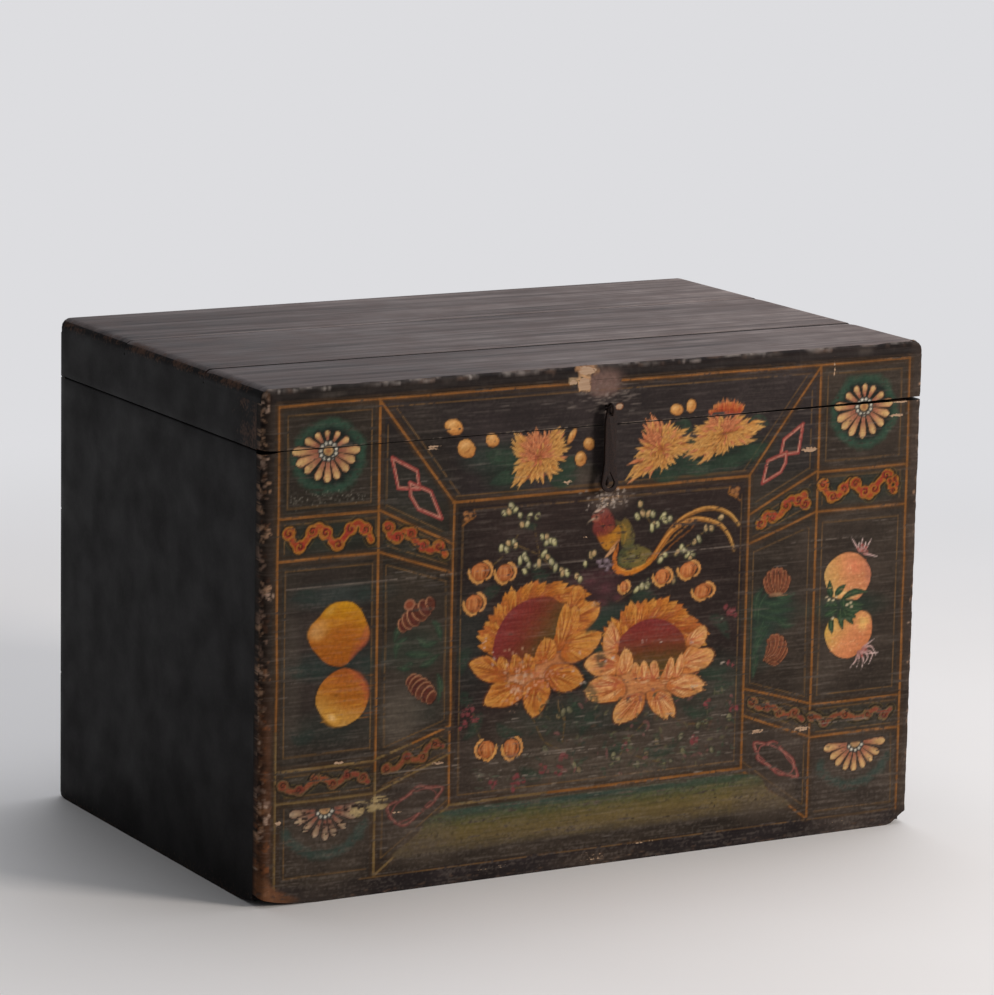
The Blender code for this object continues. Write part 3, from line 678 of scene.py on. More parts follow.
# Ochre has dulled near the foot, and higher up towards the left end. It is thinner on the right, and
# it held best in the upper part.
PULL, WANDER = 60, 0.5
DULL_FOOT, DULL_TOP, DULL_FROM, DULL_SLOPE = 24, 215, -400, 0.4
THIN_FROM, THIN_SHARE = 150, 0.84
HELD_ABOVE, HELD_WEAR = 160, 0.02


def rule(line, width, colours, worn, strength=1.0):
    """A ruled line in pulls of about 60 mm, with the small wander of a hand."""
    start, end = np.array(line[:2], float), np.array(line[2:], float)
    lengths = max(1, round(float(np.hypot(*(end - start))) / PULL))
    wander = [(vary(-WANDER, WANDER), vary(-WANDER, WANDER)) for k in range(lengths + 1)]
    points = [start + (end - start) * k / lengths + wander[k] for k in range(lengths + 1)]
    for a, b in zip(points[:-1], points[1:]):
        tone, held = colours, worn
        if colours is OCHRE:
            dull_to = max(DULL_FOOT, DULL_TOP - DULL_SLOPE * max(0.0, a[0] - DULL_FROM))
            tone = DULL if max(a[1], b[1]) < dull_to else OCHRE
            held = HELD_WEAR if min(a[1], b[1]) > HELD_ABOVE else worn
        thinned = THIN_SHARE if a[0] > THIN_FROM else 1.0
        stroke([a, b], width, tone, held, strength=strength * thinned)


for line in STRONG_LINES:
    rule(line, 11.0, LINE_SHADE, 0.2, 0.55)
for line in THIN_LINES:
    rule(line, 1.5, FAINT, 0.22, 0.75)
for line in STRONG_LINES:
    rule(line, 2.5, OCHRE, 0.16, 0.92)
for side in (-1, 1):
    stroke([(side * 164, 418), (side * 163, 411), (side * 169, 408), (side * 178, 402)], 2.0, OCHRE, 0.3)
    for x, z in ((168, 413), (173, 409), (174, 415)):
        dab(side * x, z, 3.4, 2.8, ("#94643a", "#70482a"), 0.25)
print("ruled lines:", len(STRONG_LINES) + len(THIN_LINES))

# %% [markdown]
# The floor of the painted room is a broad olive wash, bluer at its far edge and browner at both
# ends, brushed on in level streaks.

# %% Painted floor
FLOOR_WASH = ("#3e362d", "#54472f", "#5c4e2e", "#544b2b", "#3f442d", "#333b30")
FLOOR_OUTLINE = [(-254, 37), (-120, 36), (0, 36), (120, 36), (254, 37), (228, 60), (198, 83), (60, 84),
                 (-60, 84), (-198, 83), (-228, 60)]
patch(FLOOR_OUTLINE, FLOOR_WASH, (0, 60), flow=((0, 36), (0, 84)), worn=0.1, soft=2)
stroke([(-192, 80), (-60, 81), (80, 81), (186, 80)], 8, ("#2f3f36", "#2b3c38", "#34402f"), 0.2, soft=4,
       strength=0.6)
for side in (-1, 1):
    dab(side * 222, 52, 40, 20, ("#4a4036", "#4b4137"), 0.3, soft=22, strength=0.65)
for k in range(90):
    x, z = vary(-220, 190), vary(38, 80)
    tone = "#64573a" if hand.random() < 0.5 else "#3a3629"
    stroke([(x, z), (x + vary(20, 60), z + vary(-1, 1))], 1.6, tone, 0.4, leaf, strength=0.4)
print("painted floor laid")

# %% [markdown]
# A rosette fills each upper corner and half a one each lower corner. Its cream petals stand like
# fingers round a small dotted eye, on a dark disc with a soft green ring.

# %% Rosettes
FINGER_CREAM = ("#75483a", "#94674a", "#ab8757", "#b59766")
EYE_SIZE, EYE_DOTS = 13, 11
FINGER_PALE = ("#5c3f38", "#765a4b", "#90775d", "#9c886f")


def rosette(x, z, tips, colours, worn, half=False):
    """Finger petals from an eye to the given tips. Half a rosette has only its lower dots."""
    eye = np.array((x, z), float)
    for tip in tips:
        run = np.subtract(tip, eye)
        root = eye + run / np.hypot(*run) * EYE_SIZE
        width = (0.18 if half else 0.2) * float(np.hypot(*run)) + 2.0
        stroke([root, (root + tip) / 2, np.add(tip, run * 0.02)], width + 3.0, ("#2c1c17", "#1d1715"),
               -0.1, finger)
        stroke([root, (root + tip) / 2, tip], width, colours, worn, finger, rim=colours[1])
        blush = [root, root * 0.6 + np.array(tip) * 0.4]
        stroke(blush, width * 0.35, ("#7e4436", "#946048"), worn + 0.1, leaf, strength=0.7)
    for k in range(EYE_DOTS):
        angle = 2 * math.pi * k / EYE_DOTS + 0.2
        if not half or math.sin(angle) < 0.05:
            spot = ring_point(x, z, 9.5, 8.8, angle)
            dab(*spot, 3.4, 3.2, ("#2d2f31", "#262728"), 0.1)
            dab(*spot, 1.7, 1.6, "#b0aa9a", 0.1)
    if half:
        bowl = [(x - 6, z), (x - 4.4, z - 4), (x, z - 5.6), (x + 4.4, z - 4), (x + 6, z)]
        patch(bowl, ("#8a6244", "#a08058"), (x, z), worn=0.0)
    else:
        dab(x, z, 5.4, 5.0, ("#84543c", "#94683f", "#a8875a"), -0.1)


HALO_PULLS = 64


def halo(x, z, across, up, green):
    """A dark disc with a soft ring, built from short pulls of a broad brush."""
    dab(x, z, across * 0.9, up * 0.9, ("#111614", "#131a17", "#18201c"), 0.05, soft=7, strength=0.9)
    for k in range(HALO_PULLS):
        angle = 2 * math.pi * k / HALO_PULLS + vary(-0.05, 0.05)
        share = vary(0.84, 0.97)
        arc = [ring_point(x, z, across * share, up * share, angle + s) for s in (-0.16, 0, 0.16)]
        stroke(arc, 10, green[k % len(green)], 0.22, leaf, soft=5, strength=0.4)


RING_GREEN = ("#263e31", "#2b4435", "#22382d", "#304838")
halo(-342, 491, 45, 40, RING_GREEN)
halo(341, 492, 45, 43, RING_GREEN)
LEFT_TIPS = [
    (-345, 519), (-358, 517), (-371, 511), (-331, 517), (-319, 509), (-386, 499), (-381, 485), (-371, 476),
    (-357, 467), (-344, 463), (-331, 466), (-319, 474), (-311, 484), (-305, 496),
]
RIGHT_TIPS = [
    (316, 513), (328, 521), (341, 523), (354, 520), (367, 511), (301, 500), (305, 484), (312, 474),
    (323, 465), (340, 461), (356, 465), (368, 474), (375, 486), (380, 500),
]
rosette(-343, 497, LEFT_TIPS, FINGER_CREAM, -0.05)
rosette(341, 497, RIGHT_TIPS, FINGER_CREAM, -0.05)
HALF_RING = ("#333b34", "#2c3a33", "#37403a")
for x, z in ((-342, 92), (343, 94)):
    for k in range(26):
        angle = math.radians(195 + 150 * k / 25)
        share = vary(0.9, 1.05)
        arc = [ring_point(x, z, 50 * share, 40 * share, angle + s) for s in (-0.15, 0, 0.15)]
        stroke(arc, 11, HALF_RING[k % 3], 0.34, leaf, soft=5, strength=0.6)
HALF_LEFT = [(-385, 101), (-378, 91), (-368, 81), (-355, 73), (-341, 68), (-329, 72), (-316, 79),
             (-303, 91), (-296, 101)]
HALF_RIGHT = [(302, 101), (311, 89), (319, 80), (331, 73), (344, 70), (358, 73), (369, 80), (378, 88),
              (386, 102)]
rosette(-342, 103, HALF_LEFT, FINGER_PALE, 0.40, half=True)
rosette(345, 104, HALF_RIGHT, FINGER_CREAM, 0.0, half=True)
for points in ([(-312, 95), (-302, 98), (-292, 101)], [(-310, 100), (-300, 104), (-288, 103)],
               [(-292, 99), (-278, 103), (-264, 106)], [(-290, 95), (-276, 97), (-262, 99)],
               [(-286, 106), (-276, 108), (-266, 110)], [(-306, 92), (-298, 94), (-294, 97)]):
    stroke(points, 6.5, ("#8f7c55", "#9a8660", "#87714c"), 0.42, leaf)
print("marks so far:", marks["count"])

# %% [markdown]
# Bands of running scroll separate the panels. A scroll is a wavy ribbon with a dark outline, an ochre
# edge, and orange and red touches along its middle.

# %% Scroll bands
def curl(x, z, size, start, turn, colours, width, worn):
    """A small spiral, which ends in its own middle."""
    angles = [start + turn * k * 0.9 for k in range(7)]
    reach = [size * (1 - k / 8) for k in range(7)]
    points = [ring_point(x, z, r, r, a) for a, r in zip(angles, reach)]
    stroke(points, width, colours, worn, strength=0.95)


def scroll(points, width, edge, cores, worn):
    """A wavy ribbon of curls at the points it runs through."""
    middle = sum(z for x, z in points) / len(points)
    turns = [(k, x, z) for k, (x, z) in enumerate(points) if k % 2 == 0]
    stroke(points, width + 5.2, ("#514723", "#5c4c26"), worn + 0.1, strength=0.5)
    stroke(points, width + 3.0, "#1a1411", worn - 0.1, strength=0.9)
    for _, x, z in turns:
        dab(x, z, width * 0.95, width * 0.82, "#1c1713", worn - 0.1, strength=0.85)
    stroke(points, width * 0.8, edge, worn)
    for _, x, z in turns:
        dab(x, z, width * 0.76, width * 0.66, edge, worn, tilt=vary(-40, 40))
    stroke(points, width * 0.5, cores, worn)
    for k, x, z in turns:
        tone = cores[k % len(cores)]
        dab(x, z, width * 0.6, width * 0.52, tone, worn, tilt=vary(-40, 40))
        spin = 1 if z > middle else -1
        curl(x, z, width * 0.56, vary(0, 6), spin, edge, 1.8, worn)
        curl(x, z, width * 0.36, vary(0, 6), spin, "#3c150f", 1.7, worn)


WARM = ("#863520", "#8e441f", "#842d20", "#8a3f1d")
FADED = ("#6e3a26", "#743f28", "#6a3226")
scroll([(-389, 411), (-384, 401), (-376, 395), (-368, 402), (-361, 411), (-353, 416), (-345, 408),
        (-338, 398), (-330, 394), (-322, 402), (-315, 410), (-306, 416), (-297, 408), (-290, 396)], 11,
       "#8a5a20", WARM, 0.1)
scroll([(289, 411), (294, 402), (302, 396), (310, 396), (317, 404), (326, 412)], 11, "#8a5a20", WARM, 0.1)
scroll([(333, 409), (338, 402), (346, 398), (353, 393), (359, 401), (366, 409), (375, 415), (381, 416)],
       11, "#86571f", WARM, 0.1)
scroll([(380, 408), (380, 400), (386, 397), (390, 404), (387, 410)], 7, "#86571f", WARM, 0.28)
scroll([(-269, 408), (-267, 398), (-258, 396), (-249, 402), (-242, 399), (-236, 390), (-226, 384),
        (-217, 378), (-207, 382), (-199, 372)], 11, "#7c5222", WARM, 0.12)
scroll([(207, 373), (214, 383), (222, 379), (232, 381), (240, 391), (246, 398), (256, 396), (264, 402),
        (265, 391)], 11, "#80561f", WARM, 0.12)
scroll([(-393, 134), (-386, 128), (-373, 127), (-363, 131), (-354, 138), (-343, 137), (-332, 130),
        (-323, 132), (-315, 138), (-305, 138), (-296, 133), (-290, 128)], 10, "#57442c", FADED, 0.30)
scroll([(-267, 140), (-255, 139), (-242, 150), (-233, 146), (-223, 148), (-217, 158), (-207, 162),
        (-198, 158)], 10, "#5c4526", FADED, 0.26)
scroll([(284, 141), (293, 139), (301, 133), (316, 139), (330, 139), (346, 133), (361, 136), (372, 141),
        (383, 133), (392, 139)], 10, "#5a4a30", FADED, 0.28)
scroll([(203, 166), (211, 159), (222, 159), (231, 158), (240, 150), (250, 146), (260, 148), (271, 139)],
       10, "#5c482c", FADED, 0.26)
print("marks so far:", marks["count"])

# %% [markdown]
# Linked lozenges fill the upper slanting panels and rounded cartouches the lower ones, drawn in red
# with a thin pale line along them.

# %% Lozenges and cartouches
LOZENGES = [
    [(-266, 484), (-235, 467), (-232, 447), (-258, 450)],
    [(-244, 455), (-218, 443), (-204, 412), (-233, 425), (-243, 441)],
    [(259, 483), (234, 467), (230, 449), (254, 451)],
    [(238, 452), (213, 444), (207, 419), (231, 430), (237, 440)],
]
CARTOUCHES = [
    [(-268, 84), (-262, 97), (-245, 107), (-228, 114), (-212, 116), (-200, 110), (-199, 102), (-212, 94),
     (-222, 85), (-240, 76), (-258, 74)],
    [(207, 106), (209, 116), (219, 119), (235, 114), (249, 105), (257, 94), (267, 83), (264, 74),
     (254, 73), (240, 80), (226, 88), (215, 98)],
]


def closed_line(corners, width, colours, worn):
    """Straight strokes round the corners of a shape."""
    for a, b in zip(corners, corners[1:] + corners[:1]):
        stroke([a, b], width, colours, worn)


for corners in LOZENGES:
    closed_line(corners, 3.8, ("#7c3430", "#8a4038"), 0.0)
    closed_line(grown(corners, tuple(np.mean(corners, axis=0)), 0.93), 1.2, ("#a87a68", "#9a6a5a"), 0.2)
for ring, strength in zip(CARTOUCHES, (0.55, 0.85)):
    middle = tuple(np.mean(ring, axis=0))
    wavy_ring = [grown([p], middle, 1.10 if k % 2 else 0.86)[0] for k, p in enumerate(ring)]
    stroke(wavy_ring + wavy_ring[:2], 3.4, ("#66302c", "#743a34", "#642e2b"), 0.2, strength=strength)
    stroke(grown(ring + ring[:2], middle, 0.80), 1.5, "#7c4640", 0.30, strength=strength)
    stroke(grown(wavy_ring + wavy_ring[:2], middle, 0.97), 1.2, "#8f6255", 0.40, strength=strength)
print("marks so far:", marks["count"])

# %% [markdown]
# Chrysanthemums grow along the top panel. A chrysanthemum is rows of narrow pointed petals, yellow
# outside and pinker towards its top. Dark green leaves lie under them.

# %% Chrysanthemums
YELLOW_PETAL = ("#8a5426", "#a87238", "#bd9152")
PINK_PETAL = ("#8a452c", "#a55e3c", "#b87a50")
LEAF_GREEN = ("#1f2c22", "#2a3a2c", "#223026")
TOP_LEAVES = [
    [(-100, 466), (-120, 472), (-146, 470)], [(-104, 456), (-124, 452), (-144, 446)],
    [(-72, 448), (-52, 442), (-34, 448)], [(-58, 456), (-44, 460), (-30, 470)],
    [(-150, 484), (-138, 476), (-122, 480)], [(58, 440), (84, 438), (106, 444)],
    [(96, 452), (120, 442), (146, 442)], [(140, 448), (166, 446), (192, 454)],
    [(176, 460), (194, 456), (212, 464)], [(100, 474), (112, 470), (124, 462)],
    [(186, 484), (200, 490), (212, 486)], [(90, 494), (102, 492), (112, 486)],
]
for points in TOP_LEAVES:
    stroke(points, 17, LEAF_GREEN, 0.30, leaf, soft=3, strength=0.8)


# Each row: how many petals, their inner and outer ends as shares of the way out, and their width.
PETAL_ROWS = (
    (44, 0.45, 1.10, 4.2), (50, 0.40, 0.97, 3.8), (48, 0.28, 0.80, 3.4), (44, 0.15, 0.6, 3.0),
    (26, 0.04, 0.36, 2.6),
)
CHRYSANTHEMUM_WEAR = -0.1


def chrysanthemum(outline, heart, blush):
    """Rows of thin petals from the outline inwards. blush is a height, two sides and the shares of
    pink petals above it and between them, and elsewhere."""
    line = smooth_line(outline, closed=True)
    patch(grown(outline, heart, 0.74), ("#9a5230", "#965530", "#8a5028"), heart, worn=-0.2, soft=3)
    for count, inner, outer, width in PETAL_ROWS:
        for k in range(count):
            tip = np.array(line[int((k + hand.random()) / count * len(line)) % len(line)])
            run = (tip - heart) * vary(0.86, 1.05)
            bend = np.array((-run[1], run[0])) * vary(-0.1, 0.1)
            start, end = heart + run * inner, heart + run * outer
            over_z, from_x, to_x, inside, outside = blush
            pinkness = inside if end[1] > over_z and from_x < end[0] < to_x else outside
            colours = PINK_PETAL if hand.random() < pinkness else YELLOW_PETAL
            path = [start - bend, (start + end) / 2 + bend, end]
            stroke(path, width + 1.2, ("#5a2c1a", "#3a2216"), CHRYSANTHEMUM_WEAR, point, strength=0.55)
            stroke(path, width, colours, CHRYSANTHEMUM_WEAR, point)


chrysanthemum([(-118, 440), (-112, 450), (-117, 462), (-112, 470), (-118, 480), (-119, 490), (-114, 499),
               (-102, 500), (-90, 501), (-78, 500), (-68, 497), (-58, 500), (-52, 498), (-49, 485),
               (-48, 474), (-54, 462), (-62, 450), (-75, 443), (-94, 441)], np.array((-84.0, 470.0)),
              (468, -112, -66, 0.9, 0.12))
chrysanthemum([(30, 437), (33, 446), (34, 459), (42, 465), (43, 485), (50, 495), (56, 505), (66, 501),
               (78, 499), (85, 495), (92, 491), (100, 489), (113, 480), (114, 468), (104, 462), (96, 455),
               (84, 447), (66, 442), (48, 437)], np.array((73.0, 468.0)), (472, -HALF_MM, 74, 0.75, 0.15))
chrysanthemum([(103, 457), (108, 466), (113, 473), (111, 487), (124, 492), (132, 500), (146, 500),
               (160, 500), (175, 500), (186, 496), (204, 486), (200, 480), (196, 470), (184, 465),
               (172, 466), (160, 460), (146, 455), (128, 449), (118, 452)], np.array((155.0, 479.0)),
              (484, 122, 180, 0.85, 0.1))
print("marks so far:", marks["count"])

# %% [markdown]
# A red tuft stands on the right chrysanthemum, and round buds with a gleam lie beside the flowers.

# %% Tuft and round buds
TUFT, TUFT_LEFT, TUFT_RIGHT, TUFT_FOOT = 34, 134, 178, 501
TUFT_TONES = (("#7a2a1c", "#943e24", "#a8623a"), ("#8a3a1e", "#a0562a", "#b07a44"))
for k in range(TUFT):
    x = TUFT_LEFT + (TUFT_RIGHT - TUFT_LEFT) * (k + hand.random()) / TUFT
    swell = math.sin(math.pi * (0.15 + 0.75 * (TUFT_RIGHT - x) / (TUFT_RIGHT - TUFT_LEFT)))
    top = TUFT_FOOT + 1 + 19 * swell * vary(0.75, 1.05)
    lean = (x - 152) * 0.12
    path = [(x - lean, TUFT_FOOT), (x, (TUFT_FOOT + top) / 2), (x + lean, top)]
    stroke(path, 3.2, TUFT_TONES[k % 2], 0.24, point)
BUD = ("#b88a54", "#b07c42", "#9a6230")
for x, z, w, h, tilt in (
    (-191, 512, 11.5, 8, -25), (-175, 487, 11.5, 9.5, -35), (-143, 494, 8.5, 7, -40),
    (-21, 481, 7.5, 6.5, -40), (-31, 465, 7, 8, 10), (91, 511, 8.5, 6, -12), (110, 514, 6.2, 7.4, 0),
    (-43, 491, 3.5, 9, -30),
):
    dab(x, z, w + 1.5, h + 1.5, ("#2e2018", "#2a201b"), 0.1, tilt)
    dab(x, z, w, h, BUD, -0.15, tilt, (-0.3, 0.3))
    shade = [(x - w * 0.2, z - h * 0.5), (x + w * 0.3, z - h * 0.2), (x + w * 0.5, z + h * 0.3)]
    stroke(shade, 2.2, "#8a5026", 0.3, leaf, strength=0.7)
    gleam = [(x - w * 0.6, z), (x - w * 0.2, z + h * 0.5), (x + w * 0.3, z + h * 0.6)]
    stroke(gleam, 2.2, "#c49c66", 0.3, leaf, strength=0.7)
print("marks so far:", marks["count"])

# %% [markdown]
# Two great blossoms fill the middle panel. Each has a dark disc, red above and olive below, a fringe
# of short petals standing behind it and broad petals falling in front. The broad petals are given
# outlines, and thin pulls of the brush run along them.

# %% Great blossoms
BLOSSOM = {
    "deep": ("#8a481c", "#965320", "#9e6028", "#ac7638"),
    "peach": ("#9a582c", "#a46432", "#aa703a", "#b88850"),
}
HAIR = {"deep": ("#6a3214", "#783e18", "#ba8a44", "#b07a38"),
        "peach": ("#7c3a1e", "#8c4824", "#cca470", "#c4965e")}
PULLS = {
    "deep": (("#85421a", "#98561f", "#a86a28"), ("#8e4a1e", "#a26224", "#b47e3a"),
             ("#8a421e", "#945024", "#a05c26")),
    "peach": (("#94502a", "#a66a3c", "#b88a54"), ("#9c5c38", "#aa7044", "#b07a48"),
              ("#964c30", "#a4603c", "#b08052")),
}
DISC = ("#6c2826", "#6a2822", "#66291f", "#60301c", "#54361a", "#4a381a")


def broad_petal(outline, root, kind):
    """A broad petal: a shade behind it, pulls of colour from its root that end in a ragged tip, hairs."""
    middle = np.mean(outline, axis=0)
    line = smooth_line(outline, closed=True, fine=4)
    root = np.array(root, float)
    reach = np.hypot(*(line - root).T)
    patch(grown(outline, middle, 1.05), "#5c2f18", middle, worn=-0.3, soft=2, strength=0.6)
    patch(grown(outline, middle, 0.95), BLOSSOM[kind], root, worn=-0.25)
    tips = [k for k in range(len(line)) if reach[k] > 0.5 * reach.max()]
    for k in tips[::2]:
        run = (line[k] - root) * vary(0.96, 1.06)
        bend = np.array((-run[1], run[0])) * vary(-0.05, 0.05)
        shades = PULLS[kind][hand.randrange(len(PULLS[kind]))]
        path = [root + run * 0.25, root + run * 0.6 + bend, root + run]
        stroke(path, vary(3.2, 5.0), shades, -0.25, point, strength=0.85)
    for k in tips[1::2] + tips[::3]:
        run = (line[k] - root) * vary(0.78, 1.0)
        code = HAIR[kind][hand.randrange(len(HAIR[kind]))]
        path = [root + run * vary(0.2, 0.5), root + run * 0.7, root + run]
        stroke(path, 1.35, code, 0.05, leaf, strength=0.58)


def fringe(outline, heart, start, end, count, kind):
    """Overlapping short petals along part of an outline, leaning the way the painter turned."""
    line = smooth_line(outline, closed=True)
    for inner, outer, width in ((0.70, 1.07, 11), (0.66, 0.99, 9), (0.62, 0.90, 8)):
        for k in range(count):
            share = start + (end - start) * (k + vary(0.2, 0.8)) / count
            tip = np.array(line[int(share * (len(line) - 1))])
            run = (tip - heart) * vary(0.95, 1.03)
            lean = np.array((run[1], -run[0])) * 0.09
            base, top = heart + run * inner - lean, heart + run * outer + lean
            path = [base, (base + top) / 2, top]
            stroke(path, width + 1.6, ("#5a3016", "#422413"), -0.2, point, strength=0.5)
            stroke(path, width, PULLS[kind][k % 3], -0.2, point)
            for aside in (-0.22, 0.2):
                shift = np.array((-run[1], run[0])) / np.hypot(*run) * width * aside
                path = [base + shift, (base + top) / 2 + shift, (base + top * 3) / 4 + shift * 0.6]
                stroke(path, 1.3, HAIR[kind][hand.randrange(4)], 0.3, leaf, strength=0.7)


print("petal colours:", list(BLOSSOM))

# %% [markdown]
# The left blossom is the deeper one. Its band of short petals, its disc and the mass of petals in
# front come first, and then each broad petal as an outline and the place it grows from.

# %% Left blossom
LEFT_BAND = [
    (-137, 250), (-150, 258), (-153, 270), (-150, 284), (-143, 287), (-142, 298), (-135, 306),
    (-127, 312), (-120, 321), (-110, 324), (-100, 328), (-88, 331), (-78, 331), (-68, 328), (-56, 331),
    (-47, 328), (-38, 318), (-32, 322), (-25, 319), (-22, 309), (-25, 298), (-40, 285), (-60, 262),
    (-100, 250),
]
LEFT_DISC = [
    (-137, 248), (-136, 268), (-131, 282), (-122, 296), (-110, 306), (-95, 312), (-80, 314), (-65, 313),
    (-54, 306), (-47, 302), (-50, 285), (-55, 268), (-66, 254), (-82, 246), (-97, 240), (-112, 238),
    (-127, 234),
]
LEFT_MASS = [
    (-124, 240), (-106, 236), (-90, 238), (-76, 250), (-60, 262), (-45, 274), (-32, 264), (-38, 240),
    (-52, 226), (-70, 210), (-90, 205), (-112, 210), (-128, 226),
]
patch(grown(LEFT_BAND, (-92, 285), 1.03), "#2e1f17", (-92, 285), worn=0.0, soft=4, strength=0.6)
patch(grown(LEFT_BAND, (-92, 285), 0.93), ("#7a4218", "#86491c", "#945a26"), np.array((-92.0, 285.0)),
      worn=-0.2)
fringe(LEFT_BAND, np.array((-92.0, 280.0)), 0.04, 0.82, 26, "deep")
patch(LEFT_DISC, DISC, (-92, 278), flow=((-118, 300), (-62, 262)), worn=-0.25)
patch(LEFT_MASS, ("#a46a40", "#a0643a", "#985828"), (-84, 230), worn=-0.2, soft=3)
for outline, root in (
    ([(-44, 300), (-40, 317), (-32, 323), (-25, 320), (-21, 310), (-24, 299), (-34, 292)], (-40, 294)),
    ([(-40, 292), (-25, 299), (-15, 303), (-5, 302), (-1, 296), (-4, 285), (-12, 275), (-22, 271),
      (-40, 274)], (-42, 283)),
    ([(-45, 270), (-22, 271), (-10, 270), (0, 267), (2, 262), (-3, 252), (-12, 243), (-25, 237),
      (-40, 235), (-52, 245)], (-52, 258)),
    ([(-62, 236), (-45, 235), (-32, 231), (-24, 222), (-21, 213), (-28, 207), (-40, 203), (-52, 204),
      (-64, 211), (-72, 224)], (-68, 228)),
    ([(-124, 238), (-140, 252), (-150, 254), (-160, 252), (-167, 247), (-160, 236), (-150, 227),
      (-135, 222), (-118, 225)], (-122, 231)),
    ([(-118, 222), (-135, 222), (-142, 214), (-148, 202), (-143, 197), (-130, 194), (-115, 194),
      (-105, 198), (-97, 203), (-96, 215)], (-104, 218)),
    ([(-97, 215), (-98, 202), (-96, 192), (-90, 183), (-84, 178), (-75, 182), (-68, 192), (-63, 205),
      (-66, 216), (-80, 222)], (-82, 216)),
    ([(-46, 262), (-44, 280), (-40, 296), (-33, 300), (-28, 292), (-30, 276)], (-42, 262)),
    ([(-66, 252), (-58, 270), (-55, 284), (-50, 300), (-45, 304), (-40, 298), (-40, 280), (-44, 262),
      (-52, 250)], (-53, 252)),
    ([(-84, 238), (-83, 252), (-76, 264), (-68, 267), (-60, 263), (-56, 254), (-60, 242)], (-72, 238)),
    ([(-124, 228), (-131, 240), (-130, 250), (-125, 251), (-119, 246), (-114, 236)], (-119, 229)),
    ([(-116, 230), (-114, 244), (-112, 252), (-105, 250), (-100, 243), (-101, 230)], (-108, 229)),
    ([(-100, 230), (-98, 244), (-96, 252), (-88, 248), (-83, 242), (-84, 230)], (-92, 229)),
):
    broad_petal(outline, root, "deep")
strew(120, (-102, 9), (222, 13), (0.8, 2.2), (0.8, 2.4), ("#b69070", "#a98468", "#bc9a80"), 0.35, 0.4)
strew(50, (-72, 12), (222, 8), (0.8, 2.4), (0.8, 1.8), ("#a05a3a", "#a86a50", "#b08060"), 0.4, 0.7)
print("marks so far:", marks["count"])

# %% [markdown]
# The right blossom is built in the same way in a paler colour. Small chips lie on both.

# %% Right blossom
RIGHT_BAND = [
    (5, 243), (3, 252), (4, 261), (8, 270), (12, 276), (17, 274), (22, 269), (25, 281), (30, 289),
    (38, 294), (50, 296), (62, 297), (75, 298), (86, 296), (97, 291), (107, 285), (115, 278), (121, 271),
    (122, 260), (133, 262), (139, 257), (138, 245), (130, 236), (110, 225), (66, 222), (20, 228),
]
RIGHT_DISC = [
    (24, 234), (22, 250), (30, 262), (45, 272), (62, 276), (80, 274), (95, 266), (105, 257), (110, 247),
    (111, 232), (104, 220), (80, 208), (60, 208), (45, 216), (34, 226),
]
RIGHT_MASS = [
    (20, 230), (40, 222), (58, 212), (76, 206), (92, 212), (112, 226), (118, 210), (110, 196), (92, 186),
    (62, 185), (40, 186), (20, 192), (5, 212),
]
patch(grown(RIGHT_BAND, (66, 250), 1.03), "#2e1f17", (66, 250), worn=0.0, soft=4, strength=0.6)
patch(grown(RIGHT_BAND, (66, 250), 0.93), ("#7e451c", "#8c5020", "#9a6230"), np.array((66.0, 248.0)),
      worn=-0.2)
fringe(RIGHT_BAND, np.array((66.0, 246.0)), 0.02, 0.82, 26, "deep")
patch(RIGHT_DISC, DISC, (66, 245), flow=((66, 276), (67, 222)), worn=-0.25)
patch(RIGHT_MASS, ("#a0643a", "#a66e42", "#a46a3c"), (62, 204), worn=-0.2, soft=3)
for outline, root in (
    ([(112, 248), (122, 258), (133, 262), (139, 257), (138, 245), (128, 236), (114, 236)], (112, 242)),
    ([(22, 238), (5, 243), (3, 252), (4, 261), (8, 270), (12, 276), (17, 274), (23, 262)], (23, 246)),
    ([(28, 236), (5, 244), (-5, 244), (-15, 240), (-21, 232), (-15, 224), (-5, 217), (10, 214),
      (28, 218)], (28, 227)),
    ([(104, 226), (116, 240), (130, 236), (143, 235), (150, 228), (145, 217), (135, 211), (115, 208),
      (100, 212)], (104, 220)),
    ([(26, 214), (12, 215), (2, 217), (-10, 213), (-18, 205), (-19, 200), (-15, 192), (-5, 187),
      (10, 185), (28, 187), (36, 198)], (34, 203)),
    ([(92, 204), (112, 207), (125, 206), (134, 199), (139, 193), (134, 191), (137, 187), (118, 181),
      (105, 182), (94, 188), (86, 196)], (88, 196)),
    ([(58, 192), (36, 190), (28, 187), (20, 178), (18, 168), (22, 160), (35, 160), (50, 165), (59, 176)],
     (56, 192)),
    ([(62, 192), (62, 184), (66, 175), (75, 165), (88, 158), (93, 163), (98, 159), (101, 166), (97, 178),
      (92, 188), (78, 194)], (72, 194)),
    ([(22, 215), (24, 232), (30, 244), (36, 244), (42, 236), (42, 220)], (32, 212)),
    ([(40, 212), (43, 227), (49, 226), (54, 216), (50, 208)], (47, 208)),
    ([(94, 206), (99, 222), (105, 232), (109, 229), (110, 216), (104, 206)], (100, 203)),
    ([(78, 203), (84, 216), (91, 229), (96, 227), (97, 216), (92, 203)], (86, 201)),
    ([(48, 206), (52, 222), (57, 229), (62, 224), (66, 210)], (57, 203)),
    ([(64, 206), (66, 224), (71, 228), (76, 222), (77, 208)], (70, 202)),
):
    broad_petal(outline, root, "peach")
MASS_PULLS = ("#8a4824", "#a65c3a", "#b89068")
for k in range(110):
    x, z = hand.gauss(58, 28), hand.gauss(206, 5)
    path = [(x, z), (x + vary(4, 12), z + vary(-1, 1))]
    stroke(path, vary(0.9, 1.6), MASS_PULLS[k % 3], 0.4, leaf, strength=0.6)
